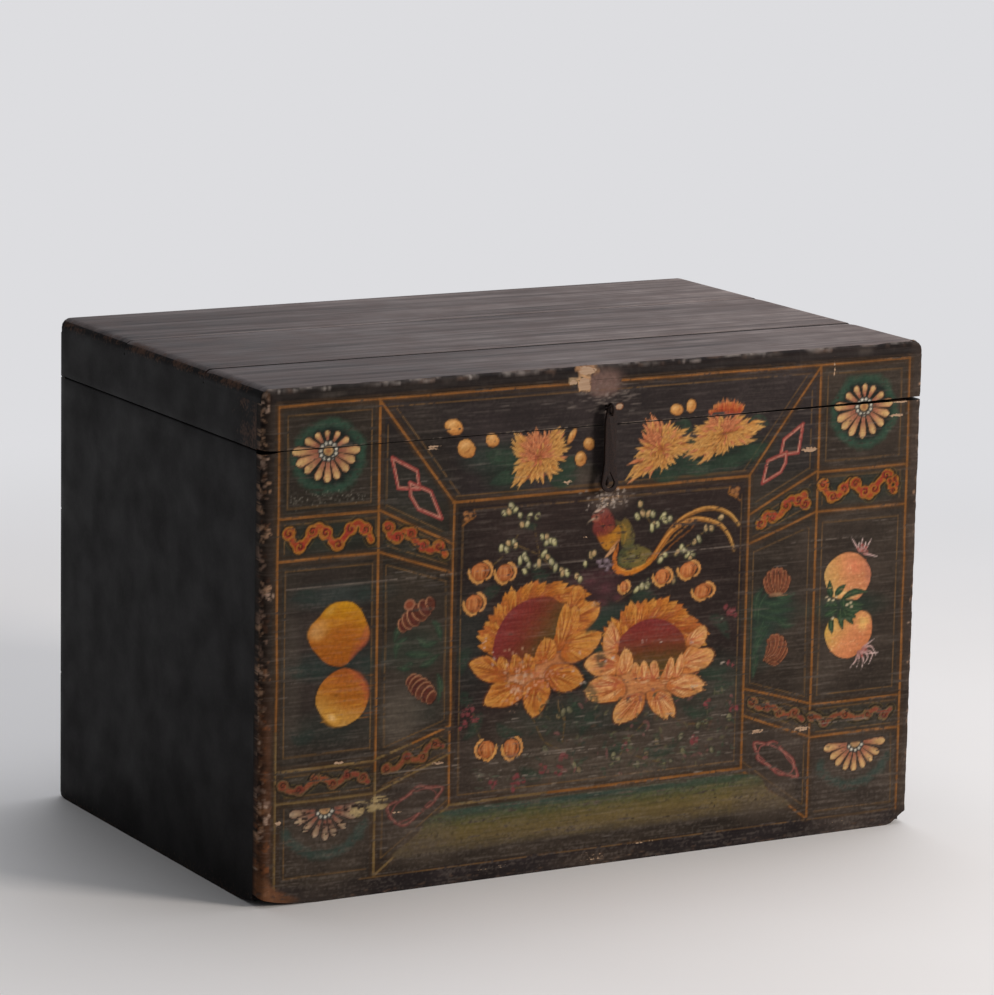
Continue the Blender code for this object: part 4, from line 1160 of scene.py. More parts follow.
CHIPS = [(-8, 300, 6, 1.6), (-30, 245, 5, 3), (-37, 228, 4, 2.4), (-148, 268, 2, 6), (-136, 250, 1.6, 8),
         (118, 245, 3, 2), (78, 249, 2, 1.6), (57, 251, 3, 1.6), (17, 236, 2, 2), (158, 267, 2.4, 2.4),
         (162, 216, 5, 1), (8, 233, 1.4, 1.4), (124, 193, 5, 1), (-22, 211, 4, 1)]
for x, z, w, h in CHIPS:
    for k in range(6):
        dab(x + vary(-w, w), z + vary(-h, h), 1.3, 0.9, "#a8988a", 0.4, strength=0.55)
print("marks so far:", marks["count"])

# %% [markdown]
# Round the blossoms grow thin stems, dark leaves and sprigs of small pale flowers. A sprig's flower is
# one pale lobe with a dark rim, and lobes stand in loose groups.

# %% Stems, leaves and sprigs
STEMS = [
    [(-150, 348), (-122, 368), (-102, 396), (-92, 404)], [(-60, 340), (-80, 360), (-112, 376)],
    [(-88, 396), (-84, 374), (-78, 356)], [(40, 328), (64, 342), (100, 350), (135, 372)],
    [(66, 378), (54, 396), (46, 408)], [(-52, 205), (-48, 190), (-44, 172), (-46, 146)],
    [(60, 158), (40, 140), (26, 118)], [(100, 158), (118, 150), (142, 148)],
    [(-84, 176), (-70, 150), (-50, 138)], [(20, 300), (50, 314), (100, 322)],
    [(-160, 190), (-156, 172), (-148, 156)], [(30, 130), (60, 116), (95, 106)],
    [(-53, 203), (-52, 186), (-44, 170)],
]
for points in STEMS:
    stroke(points, 1.8, ("#4a3a24", "#57452a"), 0.42)
DARK_LEAVES = [
    [(-8, 250), (0, 240), (2, 222)], [(-20, 268), (-4, 276), (14, 284)],
    [(130, 212), (150, 204), (170, 210)], [(-150, 190), (-160, 172), (-172, 162)],
    [(-40, 200), (-30, 186), (-26, 168)], [(0, 178), (-14, 168), (-24, 150)],
    [(110, 170), (130, 160), (150, 164)], [(-162, 262), (-172, 258), (-176, 236)],
    [(142, 272), (158, 262), (168, 244)], [(-90, 344), (-78, 338), (-66, 340)],
    [(-130, 330), (-146, 322), (-150, 310)], [(36, 300), (56, 304), (72, 300)],
    [(-100, 122), (-84, 112), (-66, 110)], [(10, 124), (26, 132), (46, 130)],
    [(60, 126), (80, 120), (104, 128)], [(-130, 176), (-118, 164), (-98, 160)],
    [(-20, 210), (-10, 198), (0, 182)], [(150, 180), (160, 190), (172, 192)],
    [(-175, 216), (-168, 204), (-162, 208)], [(-90, 398), (-90, 394), (-88, 390)],
]
for points in DARK_LEAVES:
    stroke(points, 13, ("#1f2a21", "#28362a", "#222d24"), 0.2, leaf, soft=5, strength=0.7)
LOBES = [
    (-126, 412), (-120, 413), (-117, 419), (-112, 414), (-106, 408), (-94, 406), (-84, 405), (-103, 397),
    (-97, 397), (-129, 373), (-122, 371), (-120, 378), (-113, 378), (-111, 374), (-78, 381), (-71, 380),
    (-72, 374), (-66, 376), (-62, 374), (-105, 357), (-100, 362), (-97, 358), (-99, 345), (-94, 351),
    (-84, 349), (-81, 352), (-75, 362), (-70, 358), (-65, 352), (-60, 345), (-52, 342), (-50, 338),
    (-45, 338), (-32, 333), (-28, 329), (-22, 346), (-15, 355), (-11, 357), (47, 408), (51, 397),
    (44, 394), (58, 396), (64, 395), (77, 392), (80, 387), (86, 388), (66, 384), (63, 380), (70, 383),
    (134, 373), (141, 373), (153, 384), (119, 359), (125, 362), (76, 346), (81, 348), (75, 342),
    (97, 349), (103, 353), (107, 350), (114, 341), (117, 346), (110, 345), (93, 318), (45, 311),
    (58, 314), (52, 314), (60, 318),
]
FAINT_LOBES = [
    (21, 123), (26, 118), (18, 114), (86, 106), (96, 108), (76, 139), (77, 133), (131, 147), (141, 150),
    (172, 152), (-52, 176), (-38, 182), (-46, 180), (64, 122), (-30, 118), (-24, 112), (52, 110),
    (112, 118), (-68, 140), (108, 136), (-150, 116), (150, 116),
]
LOBE_TONES = (
    ("#bdb38c", "#a59c70", "#6e6a46"), ("#b4aa8c", "#948c66", "#5e5c40"), ("#b89a74", "#a0845a", "#6e6040")
)
for x, z in LOBES + FAINT_LOBES:
    faint = (x, z) in FAINT_LOBES
    tilt = vary(-50, 50)
    w, h = vary(2.3, 3.1), vary(3.4, 5.0)
    tone = hand.choice(LOBE_TONES)
    dab(x, z, w + 1.6, h + 1.6, ("#2c3226", "#2a2c24"), 0.2, tilt, strength=0.7)
    dab(x, z, w, h, tone, 0.44 if faint else 0.22, tilt, (-0.2, 0.4), strength=0.3 if faint else 0.9)
print("marks so far:", marks["count"])

# %% [markdown]
# Orange buds, little red flowers and short strokes of undergrowth fill the space between them.

# %% Buds and small flowers
ORANGE = ("#ac683a", "#9c5a2e", "#864822")
BUD_PETALS = (
    (((-1.0, 0.45), (-0.85, -0.3), (-0.25, -0.85), (0.35, -0.55)), ("#b08048", "#a87238", "#96602c")),
    (((0.15, 1.0), (0.72, 0.62), (0.9, 0.0), (0.62, -0.5), (0.25, -0.55)),
     ("#b4844e", "#a66c34", "#94582a")),
)


def open_bud(x, z, w, h, flip, worn):
    """A round bud between two curved petals. flip turns it left or right."""
    def at(u, v):
        return x + flip * u * w, z + v * h
    dab(x, z, w + 1.5, h + 1.2, ("#33221a", "#2c211c"), 0.1, soft=3, strength=0.8)
    dab(x - flip * 0.08 * w, z + 0.08 * h, w * 0.76, h * 0.76, ORANGE, worn, 20, (0.1, 0.4))
    for k, u in enumerate((-0.55, -0.35, -0.15, 0.05, 0.25)):
        code = ("#bc8a58", "#84421f", "#b47c48")[k % 3]
        stroke([at(u, -0.45), at(u + 0.05, 0.1), at(u + 0.1, 0.6)], 1.8, code, 0.1, leaf, strength=0.4)
    for path, tones in BUD_PETALS:
        line = smooth_line([at(u, v) for u, v in path])
        stroke(line[::3], 3.1, tones, worn, leaf)
        for k in range(1, len(line) - 5, 3):
            out = (line[k] - (x, z)) * 0.14
            stroke([line[k], line[k + 2] + out * 0.6, line[k + 4] + out], 2.7, tones[:2], worn, point)
    stroke([at(0.1, 0.62), at(0.42, 0.2), at(0.22, -0.5)], 1.5, "#4c2815", 0.1, leaf)


for x, z, w, h, flip in (
    (-154, 348, 15, 13, 1), (-123, 344, 13.5, 12.5, 1), (-161, 313, 14, 13, 1), (79, 322, 13, 11, 1),
    (113, 327, 15, 11.5, 1), (133, 301, 15.5, 11, 1), (-144, 147, 13.5, 13, -1), (-110, 145, 13, 14, 1),
    (29, 315, 7.5, 8, 1),
):
    open_bud(x, z, w, h, flip, -0.1)
RED_FLOWERS = [(-165, 196), (-158, 186), (-173, 178), (-71, 119), (-104, 110), (-98, 105), (-107, 102),
               (36, 131), (143, 171), (-50, 114), (165, 277), (174, 273), (172, 213), (-170, 192),
               (178, 160), (-44, 128), (126, 130), (-134, 108)]
for x, z in RED_FLOWERS:
    for k in range(5):
        angle = vary(0, 6.28)
        dab(*ring_point(x, z, 3.6, 4, angle), 2.6, 3.0, ("#74383a", "#642e30"), 0.42, strength=0.75)
UNDERGROWTH = ("#232f26", "#2a3a2c", "#3c3a28", "#4c3628", "#6c4642", "#26302a", "#565038", "#33402f")
for k in range(240):
    x, z = vary(-80, 176), vary(102, 196)
    angle = vary(0, 6.28)
    run = np.array((math.cos(angle), math.sin(angle))) * vary(4, 11)
    path = [(x, z), (x + run[0] / 2, z + run[1] / 2 + 1), (x + run[0], z + run[1])]
    stroke(path, vary(2, 4.4), UNDERGROWTH[hand.randrange(8)], 0.3, leaf, strength=vary(0.35, 0.7))
for x, z, w, h in ((-16, 326, 14, 6), (8, 334, 14, 5), (4, 316, 12, 9), (0, 300, 9, 7), (20, 304, 8, 5)):
    dab(x, z, w, h, ("#553034", "#472a2c", "#3a2626"), 0.36, soft=6, strength=0.7)
print("marks so far:", marks["count"])

# %% [markdown]
# A long-tailed bird perches above the blossoms: a red breast, a yellow belly, an olive back, and two
# tail feathers that sweep to the right.

# %% Bird and branch
patch([(19, 345), (22, 356), (30, 361), (45, 362), (56, 357), (64, 351), (66, 344), (56, 338), (40, 335),
       (26, 338)], ("#3c4029", "#4c4a2a", "#62562c", "#6e5a2c"), (42, 349), flow=((22, 358), (60, 340)),
      worn=0.2, soft=2)
for x, z, w, h in ((52, 351, 8, 4), (36, 354, 7, 4), (28, 346, 5, 5), (44, 343, 8, 3)):
    dab(x, z, w, h, ("#7a602c", "#5c532c"), 0.34, 15, soft=4, strength=0.7)
TAIL = ("#96561f", "#94602a", "#84582c", "#9a6c36", "#8e6a3a")
UPPER_TAIL = [(60, 341), (72, 354), (84, 371), (98, 384), (114, 392), (132, 396), (150, 394), (166, 386),
              (177, 374)]
LOWER_TAIL = [(66, 346), (84, 369), (98, 379), (116, 385), (134, 383), (152, 376), (164, 363), (172, 345)]


def slimming(u):
    """A tail feather's width, which falls by nearly half."""
    return 1 - 0.45 * u


for line, width in ((UPPER_TAIL, 7.0), (LOWER_TAIL, 6.4)):
    stroke(line, width + 2.6, "#2a1e17", 0.1, strength=0.6)
    stroke(line, width, TAIL, 0.18, slimming)
    stroke([(x, z + 1.4) for x, z in line], 1.6, ("#b07a3c", "#b4884a"), 0.3, strength=0.8)
    stroke([(x, z - 1.6) for x, z in line], 1.5, ("#6a3c18", "#64481f"), 0.3, strength=0.8)
for k in range(14):
    x = 72 + 3 * k
    z = 352 + 2.1 * k
    stroke([(x, z), (x + 5, z + vary(3, 7))], 1.4, "#8a5c2a", 0.3, leaf, strength=0.7)
    stroke([(x + 4, z - 3), (x + 9, z + vary(-3, 1))], 1.4, "#7e4c22", 0.3, leaf, strength=0.7)
stroke([(20, 366), (16, 352), (17, 338), (30, 332), (46, 334), (60, 340), (69, 351)], 7.5,
       ("#8e4c1e", "#a65e22", "#aa661f", "#94601f"), 0.14, leaf)
stroke([(19, 341), (30, 334), (46, 336), (60, 342)], 1.8, "#c08a3c", 0.25, leaf, strength=0.8)
patch([(15, 392), (22, 390), (29, 394), (36, 384), (41, 371), (38, 362), (30, 360), (24, 364), (22, 376)],
      ("#4c4026", "#6e5826", "#665426", "#40422a"), (30, 376), flow=((22, 392), (38, 362)), worn=0.2,
      soft=2)
stroke([(24, 388), (29, 378), (27, 364)], 3.0, ("#8a6628", "#7a5c24"), 0.3, leaf, strength=0.8)
stroke([(34, 386), (38, 376), (38, 366)], 2.2, "#34382a", 0.3, leaf, strength=0.8)
patch([(-8, 378), (4, 377), (14, 382), (20, 386), (23, 375), (19, 366), (6, 359), (-2, 366)],
      ("#84461c", "#90581c", "#98661f", "#8a5820"), (8, 372), flow=((-4, 380), (16, 363)), worn=0.16,
      soft=2)
patch([(-13, 383), (-12, 392), (-8, 401), (-1, 407), (7, 404), (15, 389), (12, 380), (2, 376), (-8, 377)],
      ("#6e4038", "#622a24", "#5e2722", "#784020"), (0, 390), flow=((-8, 402), (6, 374)), worn=0.2, soft=3)
for k in range(16):
    x, z = vary(-8, 10), vary(380, 400)
    stroke([(x, z), (x + 2, z - 5)], 1.6, ("#823c2a", "#5c211b", "#8a4a2a")[k % 3], 0.3, leaf, strength=0.7)
dab(-9, 397, 6.5, 5.5, ("#94705f", "#7c4a3c", "#66291f"), 0.26)
stroke([(-13, 396), (-18, 394), (-21, 391)], 2.6, ("#8a7a66", "#5c4f42"), 0.2, taper)
dab(-9, 398, 1.6, 1.6, "#1a1311", 0.0)
stroke([(-14, 401), (-6, 406), (2, 409)], 3.4, ("#a08676", "#b09a8a"), 0.36, leaf)
stroke([(21, 370), (12, 359), (2, 350)], 4.6, ("#94603a", "#a87c54", "#a07858"), 0.2, leaf)
stroke([(20, 368), (17, 362), (18, 356)], 2.0, "#3a2416", 0.2, leaf)
for x, z in ((-1, 343), (5, 348), (11, 344), (5, 339), (-4, 348)):
    dab(x, z, 4.2, 3.6, ("#82747a", "#6e5e64", "#52454a"), 0.36)
print("marks so far:", marks["count"])

# %% [markdown]
# Fruit hangs in the tall panels: two peaches on the left, two pomegranates on the right, and finger
# citrons in the slanting panels. A fruit is an outline with a broad change of colour, and softer
# patches over it for its cheeks.

# %% Peaches
PEACH_ABOVE = [
    (-365, 297), (-362, 307), (-352, 316), (-343, 325), (-334, 330), (-324, 331), (-312, 329),
    (-303, 322), (-297, 312), (-292, 300), (-291, 291), (-296, 284), (-306, 277), (-311, 270),
    (-316, 263), (-323, 260), (-333, 261), (-344, 266), (-353, 275), (-361, 285),
]
PEACH_BELOW = [
    (-355, 225), (-350, 240), (-340, 250), (-328, 256), (-318, 257), (-309, 253), (-300, 245),
    (-294, 236), (-291, 224), (-294, 211), (-301, 202), (-311, 196), (-322, 193), (-333, 195),
    (-343, 203), (-351, 213),
]
for outline, middle in ((PEACH_ABOVE, (-328, 296)), (PEACH_BELOW, (-323, 224))):
    patch(grown(outline, middle, 1.05), "#2e2418", middle, worn=0.0, soft=4, strength=0.7)
patch(PEACH_ABOVE, ("#a5740f", "#9c6412", "#925616", "#884c14", "#80440f"), (-328, 296),
      flow=((-320, 331), (-332, 262)), worn=-0.35)
patch([(-364, 296), (-361, 306), (-351, 314), (-342, 316), (-338, 306), (-344, 296), (-353, 290)],
      ("#bb8e58", "#ae7c3e", "#a0681f"), (-357, 301), worn=-0.2, soft=7, strength=0.65)
dab(-338, 322, 9, 5, ("#b4893c", "#a87820"), 0.2, 35, soft=5, strength=0.7)
stroke([(-294, 302), (-296, 288), (-306, 278), (-314, 266)], 10, ("#96552c", "#8e452e", "#8c4a2e"), 0.16,
       leaf, soft=4, strength=0.8)
dab(-320, 290, 18, 17, ("#80420f", "#8a4c14"), -0.2, soft=10, strength=0.6)
patch(PEACH_BELOW, ("#8c481c", "#8e4f18", "#955a1c", "#a4722e", "#ac8040"), (-323, 224),
      flow=((-308, 252), (-334, 197)), worn=-0.35)
stroke([(-314, 254), (-301, 243), (-293, 227), (-295, 214)], 9, ("#944e28", "#8c422a", "#8e4e26"), 0.16,
       leaf, soft=4, strength=0.8)
dab(-335, 204, 13, 8, ("#c8a26c", "#b8883e", "#a4701f"), -0.2, -35, soft=5, strength=0.9)
dab(-316, 228, 15, 15, ("#84480f", "#8a4e14"), -0.2, soft=9, strength=0.55)
dab(-330, 228, 3, 2.2, ("#6a3c14", "#84501a"), 0.2, strength=0.7)
for middle in ((-328, 296), (-323, 224)):
    for k in range(46):
        spot = np.array(middle) + (vary(-28, 26), vary(-25, 26))
        tone = ("#b07a2c", "#7c4210", "#9c5e1c")[k % 3]
        stroke([spot, spot + (vary(6, 16), vary(-1, 1))], 1.4, tone, 0.1, leaf, strength=0.35)
for points in ([(-352, 334), (-368, 342), (-386, 338)], [(-304, 332), (-296, 338), (-290, 332)],
               [(-362, 262), (-376, 258), (-388, 264)], [(-300, 266), (-292, 256), (-294, 244)],
               [(-356, 190), (-372, 184), (-386, 192)], [(-346, 262), (-354, 256), (-362, 250)]):
    stroke(points, 15, ("#222a26", "#26302a", "#232a27"), 0.2, leaf, soft=6, strength=0.7)
print("marks so far:", marks["count"])

# %% [markdown]
# The pomegranates have a crown of thin pale strokes, and leaves with a light rib between them.

# %% Pomegranates
POM_ABOVE = [
    (295, 303), (298, 315), (308, 324), (322, 329), (338, 327), (350, 318), (358, 305), (357, 292),
    (351, 282), (340, 273), (326, 277), (312, 277), (301, 286),
]
POM_BELOW = [
    (298, 236), (301, 247), (309, 254), (320, 250), (333, 254), (345, 259), (356, 255), (362, 245),
    (362, 231), (356, 219), (345, 210), (333, 205), (320, 207), (310, 213), (302, 223),
]
CROWN = ("#8a5a52", "#b0908a", "#c0aaa2")
for outline, middle in ((POM_ABOVE, (327, 301)), (POM_BELOW, (330, 231))):
    patch(grown(outline, middle, 1.05), "#2e2820", middle, worn=0.0, soft=4, strength=0.7)
patch(POM_ABOVE, ("#b08a52", "#b07e4a", "#b2744c", "#ae704a", "#a0624a"), (327, 301),
      flow=((297, 296), (358, 310)), worn=-0.3)
stroke([(302, 287), (318, 281), (336, 279), (350, 284)], 9, ("#bc9e66", "#bf9c66", "#b68c5c"), 0.16, leaf,
       soft=4, strength=0.85)
dab(335, 312, 13, 9, ("#b8684a", "#b8704f"), 0.3, -20, soft=6, strength=0.7)
patch(POM_BELOW, ("#a8843e", "#a87c44", "#b07248", "#ac6a44", "#a0603a"), (330, 231),
      flow=((302, 246), (346, 208)), worn=-0.3)
dab(350, 246, 10, 11, ("#c09c5c", "#b88c50", "#b68050"), 0.14, soft=5, strength=0.9)
dab(308, 244, 6, 8, ("#bc9a5e", "#b48c50"), 0.16, soft=4, strength=0.8)
for middle in ((327, 301), (331, 231)):
    for k in range(60):
        x, z = middle[0] + vary(-25, 25), middle[1] + vary(-19, 19)
        dab(x, z, 1.2, 0.9, ("#a85c3c", "#c8a070", "#b06a48")[k % 3], 0.36, strength=0.5)
for points in (
    [(342, 329), (337, 336), (330, 346)], [(345, 328), (344, 338), (346, 346)],
    [(348, 328), (352, 334), (357, 342)], [(348, 326), (356, 324), (366, 321)],
    [(344, 329), (340, 334), (341, 340)], [(346, 329), (349, 336), (350, 340)],
    [(350, 214), (362, 216), (370, 204)], [(351, 216), (362, 222), (366, 224)],
    [(350, 213), (364, 208), (360, 195)], [(347, 212), (352, 202), (350, 190)],
    [(344, 211), (342, 202), (334, 193)], [(346, 212), (358, 208), (372, 208)],
    [(345, 210), (346, 200), (343, 193)], [(352, 214), (358, 204), (354, 197)],
):
    stroke(points, 2.8, CROWN, 0.14, taper)
for x, z in ((340, 332), (345, 336), (350, 333), (346, 330), (352, 328), (355, 213), (350, 206)):
    dab(x, z, 1.8, 1.8, ("#7a3430", "#8a5048"), 0.2)
POM_LEAVES = [
    [(306, 279), (303, 288), (302, 299)], [(310, 280), (316, 286), (324, 292)],
    [(320, 276), (336, 282), (354, 281)], [(318, 270), (334, 268), (350, 266)],
    [(307, 254), (306, 246), (308, 236)], [(318, 264), (319, 252), (322, 239)],
    [(322, 262), (330, 252), (337, 244)], [(324, 264), (336, 260), (348, 262)],
    [(314, 268), (304, 272), (296, 268)], [(314, 264), (304, 260), (296, 258)],
    [(322, 278), (322, 270), (324, 262)], [(326, 258), (332, 256), (340, 252)],
]
for points in POM_LEAVES:
    stroke(points, 8.5, ("#1c2a1c", "#2a3c29", "#223022"), -0.1, leaf)
    stroke(points, 1.4, "#46583a", 0.2, leaf, strength=0.7)
for x, z in ((302, 276), (308, 275), (312, 278), (327, 268), (332, 270), (333, 265), (308, 254),
             (299, 279)):
    dab(x, z, 2.2, 1.5, ("#b8aa8c", "#94866a"), 0.25, 20)
print("marks so far:", marks["count"])

# %% [markdown]
# A finger citron is drawn as a row of loops that overlap like the fingers of a half-closed hand, each
# one red-brown with a cream outline. Fern-like leaves stand round it.

# %% Finger citrons
def citron(start, end, across, along, tilt, count, worn):
    """Overlapping loops between two points."""
    for k in range(count):
        x, z = np.array(start) + (np.array(end) - start) * k / (count - 1)
        swell = 0.6 + 0.5 * math.sin(math.pi * (k + 0.5) / count)
        w, h = along * swell, across * swell
        lean = tilt + vary(-14, 14)
        dab(x, z, w + 1.2, h + 1.2, "#281612", -0.1, lean, strength=0.85)
        dab(x, z, w, h, (("#52261c", "#44201a"), ("#46241a", "#52291c"))[k % 2], worn, lean)
        turn = math.radians(lean)
        rim = [(w * math.cos(a), h * math.sin(a)) for a in np.linspace(0.5, 5.6, 9)]
        c, s = math.cos(turn), math.sin(turn)
        path = [(x + u * c - v * s, z + u * s + v * c) for u, v in rim]
        stroke(path, 1.8, ("#62402e", "#8c6146", "#80553c", "#60402e"), worn + 0.1, leaf)


def open_hand(base, tips):
    """A citron seen from its side: fingers that rise from one base."""
    for tip in tips:
        run = 0.8 * np.subtract(tip, base)
        tip = base + run
        bow = np.array((run[1], -run[0])) * 0.3 * run[0] / np.hypot(*run)
        path = [base, base + run * 0.5 + bow, tip - bow * 0.2, tip - bow * 1.3 - run * 0.1]
        stroke(path, 9.2, "#281612", -0.1, finger, strength=0.85)
        stroke(path, 6.8, ("#4e2a1c", "#5e3222", "#6a3a28"), 0.0, finger, rim="#8a5a3c")


FERNS = [
    [(-244, 284), (-256, 276), (-258, 262)], [(-232, 282), (-220, 274), (-206, 276)],
    [(-246, 266), (-232, 264), (-212, 262)], [(-214, 300), (-206, 292), (-202, 276)],
    [(-228, 250), (-216, 254), (-204, 262)], [(-206, 240), (-202, 226), (-204, 208)],
    [(-248, 300), (-256, 292), (-260, 280)], [(-236, 256), (-246, 250), (-256, 252)],
    [(212, 298), (204, 286), (202, 262)], [(210, 284), (226, 278), (252, 280)],
    [(208, 276), (228, 270), (256, 270)], [(206, 268), (222, 262), (248, 258)],
    [(218, 292), (208, 276), (206, 252)], [(224, 258), (214, 244), (204, 224)],
    [(216, 262), (208, 246), (202, 236)], [(220, 254), (210, 250), (200, 252)],
    [(226, 288), (240, 284), (256, 288)], [(208, 222), (204, 208), (202, 194)],
    [(216, 246), (206, 232), (200, 214)], [(230, 262), (244, 252), (258, 252)],
]
for points in FERNS:
    stroke(points, 8, ("#1f2d23", "#2a3b2c", "#233126"), 0.1, leaf, soft=2.5, strength=0.8)
    stroke(points, 1.3, ("#3c4e38", "#36462f"), 0.24, leaf, strength=0.6)
citron((-250, 298), (-216, 319), 10.5, 7.0, 30, 6, 0.0)
dab(-242, 320, 7, 6, ("#7a4028", "#6c3422", "#8a5e46"), 0.0, 30)
citron((-238, 236), (-213, 214), 10.5, 6.6, -42, 6, 0.0)
open_hand(np.array((231.0, 288.0)), [(211, 311), (250, 309), (216, 319), (244, 318), (223, 323),
                                     (237, 323), (230, 324)])
stroke([(220, 288), (232, 289), (246, 287)], 4, ("#6a4a34", "#7a5a40", "#6a4a34"), 0.2, leaf)
open_hand(np.array((217.0, 214.0)), [(252, 221), (224, 240), (251, 231), (231, 245), (246, 239),
                                     (239, 244)])
print("marks so far:", marks["count"])

# %% [markdown]
# Age comes last. Filler shows as pale broken lines where boards meet, a bare patch and scuffs lie
# round the hasp, and level scratches cross everything. The pale lines along the lid's lower edge, near
# 500 mm, are partly scratches and partly a painted highlight on that edge.

# %% Cracks, scuffs and scratches
# The lines near 500 mm run along the lid's lower edge: partly scratches, partly a painted highlight.
for line in (
    (-392, 349.4, -176, 349.4), (250, 347.8, 330, 346.6), (-176, 350.2, 190, 349.8),
    (-272, 134.6, -150, 134.0), (-100, 135.2, 0, 134.6), (20, 134.4, 160, 134.2),
    (196, 132.0, 400, 131.4), (-120, 137.6, -10, 137.2), (200, 129.6, 280, 128.8),
    (-392, 501.4, -300, 501.6), (-150, 501.2, -20, 501.2), (20, 500.6, 290, 500.6),
    (375, 484.6, 402, 485.6), (380, 500.4, 402, 500.6), (-250, 501.4, -190, 501.4),
):
    rule(line, 1.2, ("#6c6057", "#7e7267", "#685c53"), 0.60, 0.75)
BARE = ("#b08a64", "#a87e58", "#b8946e")
patch([(-37, 556), (-22, 557), (-21, 540), (-34, 540), (-36, 547)], BARE, (-28, 548), worn=0.2)
patch([(-36, 568), (-12, 569), (-13, 558), (-34, 559)], ("#8a6448", "#96704f"), (-24, 563), worn=0.35)
patch([(-49, 552), (-46, 556), (-39, 555), (-38, 549), (-45, 548)], ("#9c8466", "#8c7458"), (-43, 552),
      worn=0.3)
patch([(-21, 538), (-20, 556), (12, 557), (13, 536), (-4, 533)], ("#6a534c", "#5e4942"), (-4, 546),
      worn=0.3, soft=5, strength=0.85)
dab(17, 520, 4.5, 3.4, ("#b08058", "#a06a48"), 0.2)
strew(90, (6, 13), (417, 6), (0.7, 2.4), (0.6, 1.3), ("#94877c", "#a89a8e", "#7c7067"), 0.42, 0.7)
for k in range(60):
    x, z = hand.gauss(-4, 20), hand.gauss(530, 7)
    path = [(x, z), (x + vary(5, 16), z + vary(-1, 2))]
    stroke(path, 1.1, "#7a6e66", 0.45, leaf, strength=0.55)
for k in range(420):
    x, z = vary(-400, 380), vary(22, 545)
    tone = ("#6c625a", "#7a7068", "#241d1a", "#2a221f")[k % 4]
    path = [(x, z), (x + vary(8, 40), z + vary(-0.8, 0.8))]
    stroke(path, vary(0.8, 1.2), tone, 0.42, leaf, strength=vary(0.2, 0.5))
for k in range(90):
    x, z = vary(-388, -298), hand.gauss(447, 4)
    dab(x, z, vary(0.5, 1.1), vary(0.5, 0.9), "#8c8678", 0.35, strength=0.35)
GRIT_TONES = ("#7c7066", "#8a7e72", "#1c1614", "#2a2420", "#54604e")
for k in range(280):
    x, z = vary(-185, 176), hand.gauss(122, 22)
    path = [(x, z), (x + vary(3, 14), z + vary(-0.8, 0.8))]
    stroke(path, vary(0.8, 1.3), GRIT_TONES[k % 5], 0.3, leaf, strength=vary(0.3, 0.7))
print("marks so far:", marks["count"])

# %% [markdown]
# Dust lightens the lower part, and chips and grime lie along the arrises and the foot. The pale dabs
# on the lid's front arris are partly chips and partly a painted highlight along that edge. Where the
# wood is bare and the lacquer has flaked, the surface sinks a little.

# %% Dust, chips and grime
DUST = rgb("#6b6158")
DUST_TOP, DUST_FADE = 210, 170
low_down = np.clip((DUST_TOP - grid_z) / DUST_FADE, 0, 1)
speckle = np.clip((specks * 0.6 + rubbing * 0.5 - 0.62) / 0.2, 0, 1)
canvas += (DUST - canvas) * (speckle * (0.05 + 0.13 * low_down))[..., None]
scratched = np.clip((rubbing - 0.72) / 0.2, 0, 1)
canvas += (DUST - canvas) * (scratched * 0.13)[..., None]
DULLEST, RUB_CONTRAST = 0.80, 0.40
canvas *= (DULLEST + RUB_CONTRAST * rubbing)[..., None]
CHIP_TONES = ("#866c5c", "#a08674", "#664834", "#745c4e", "#241b17", "#17110f", "#94745c", "#402c21")
LOW_CHIP_TONES = ("#6c4228", "#5a3a26", "#7a5236")
LOW_PART = 260
for k in range(170):
    z = vary(6, 566)
    x = -HALF_MM + abs(hand.gauss(0, 4.0))
    browned = 0.7 * max(0.0, 1 - z / LOW_PART)
    code = CHIP_TONES[hand.randrange(8)] if hand.random() > browned else LOW_CHIP_TONES[k % 3]
    for flake in range(hand.randrange(2, 8)):
        spot = x + hand.gauss(0, 1.5), z + hand.gauss(0, 3.6)
        dab(*spot, vary(0.5, 1.7), vary(0.6, 2.6), code, vary(-0.2, 0.2), vary(-40, 40), strength=0.9)
GRIME_TONES = ("#1d1613", "#2c201a", "#3a281d")
for k in range(80):
    z = vary(6, 230)
    x = -HALF_MM + abs(hand.gauss(0, 5))
    size = vary(0.8, 2.4), vary(1.0, 4.5)
    dab(x, z, *size, GRIME_TONES[k % 3], 0.0, vary(-30, 30), soft=1.5, strength=0.42)
for k in range(200):
    z = vary(4, 566)
    x = HALF_MM - abs(hand.gauss(0, 3.0))
    dab(x, z, vary(0.5, 1.6), vary(0.6, 2.4), CHIP_TONES[k % 8], vary(0, 0.4), strength=0.6)
# Pale dabs on the lid's front arris: partly chips, partly a painted highlight along the edge.
LID_EDGE, ARRIS_FOOT = 568.5, 564
BELOW_ARRIS = ("#1a1413", "#3a2c25", "#231a17", "#2a201c", "#6a5446")
ARRIS_CHIPS_AND_GLINTS = ("#7d726b", "#948a82", "#5c483c", "#241c18")
for k in range(620):
    x = vary(-418, 418)
    z = LID_EDGE - abs(hand.gauss(0, 3.2))
    if math.sin(x / 23) + math.sin(x / 9 + 2) < vary(-1.8, 1.0):
        continue
    code = BELOW_ARRIS[k % 5] if z < ARRIS_FOOT else ARRIS_CHIPS_AND_GLINTS[k % 4]
    dab(x, z, vary(0.8, 6.0), vary(0.35, 0.8), code, vary(0.0, 0.4), strength=0.6)
FOOT_TONES = ("#4c3a2f", "#1a1514", "#5e4a3c", "#2c2320")
for k in range(150):
    x = hand.gauss(20, 190)
    z = 1 + abs(hand.gauss(0, 5))
    dab(x, z, vary(1, 4), vary(0.4, 1.0), FOOT_TONES[k % 4], vary(0, 0.4), strength=0.6)
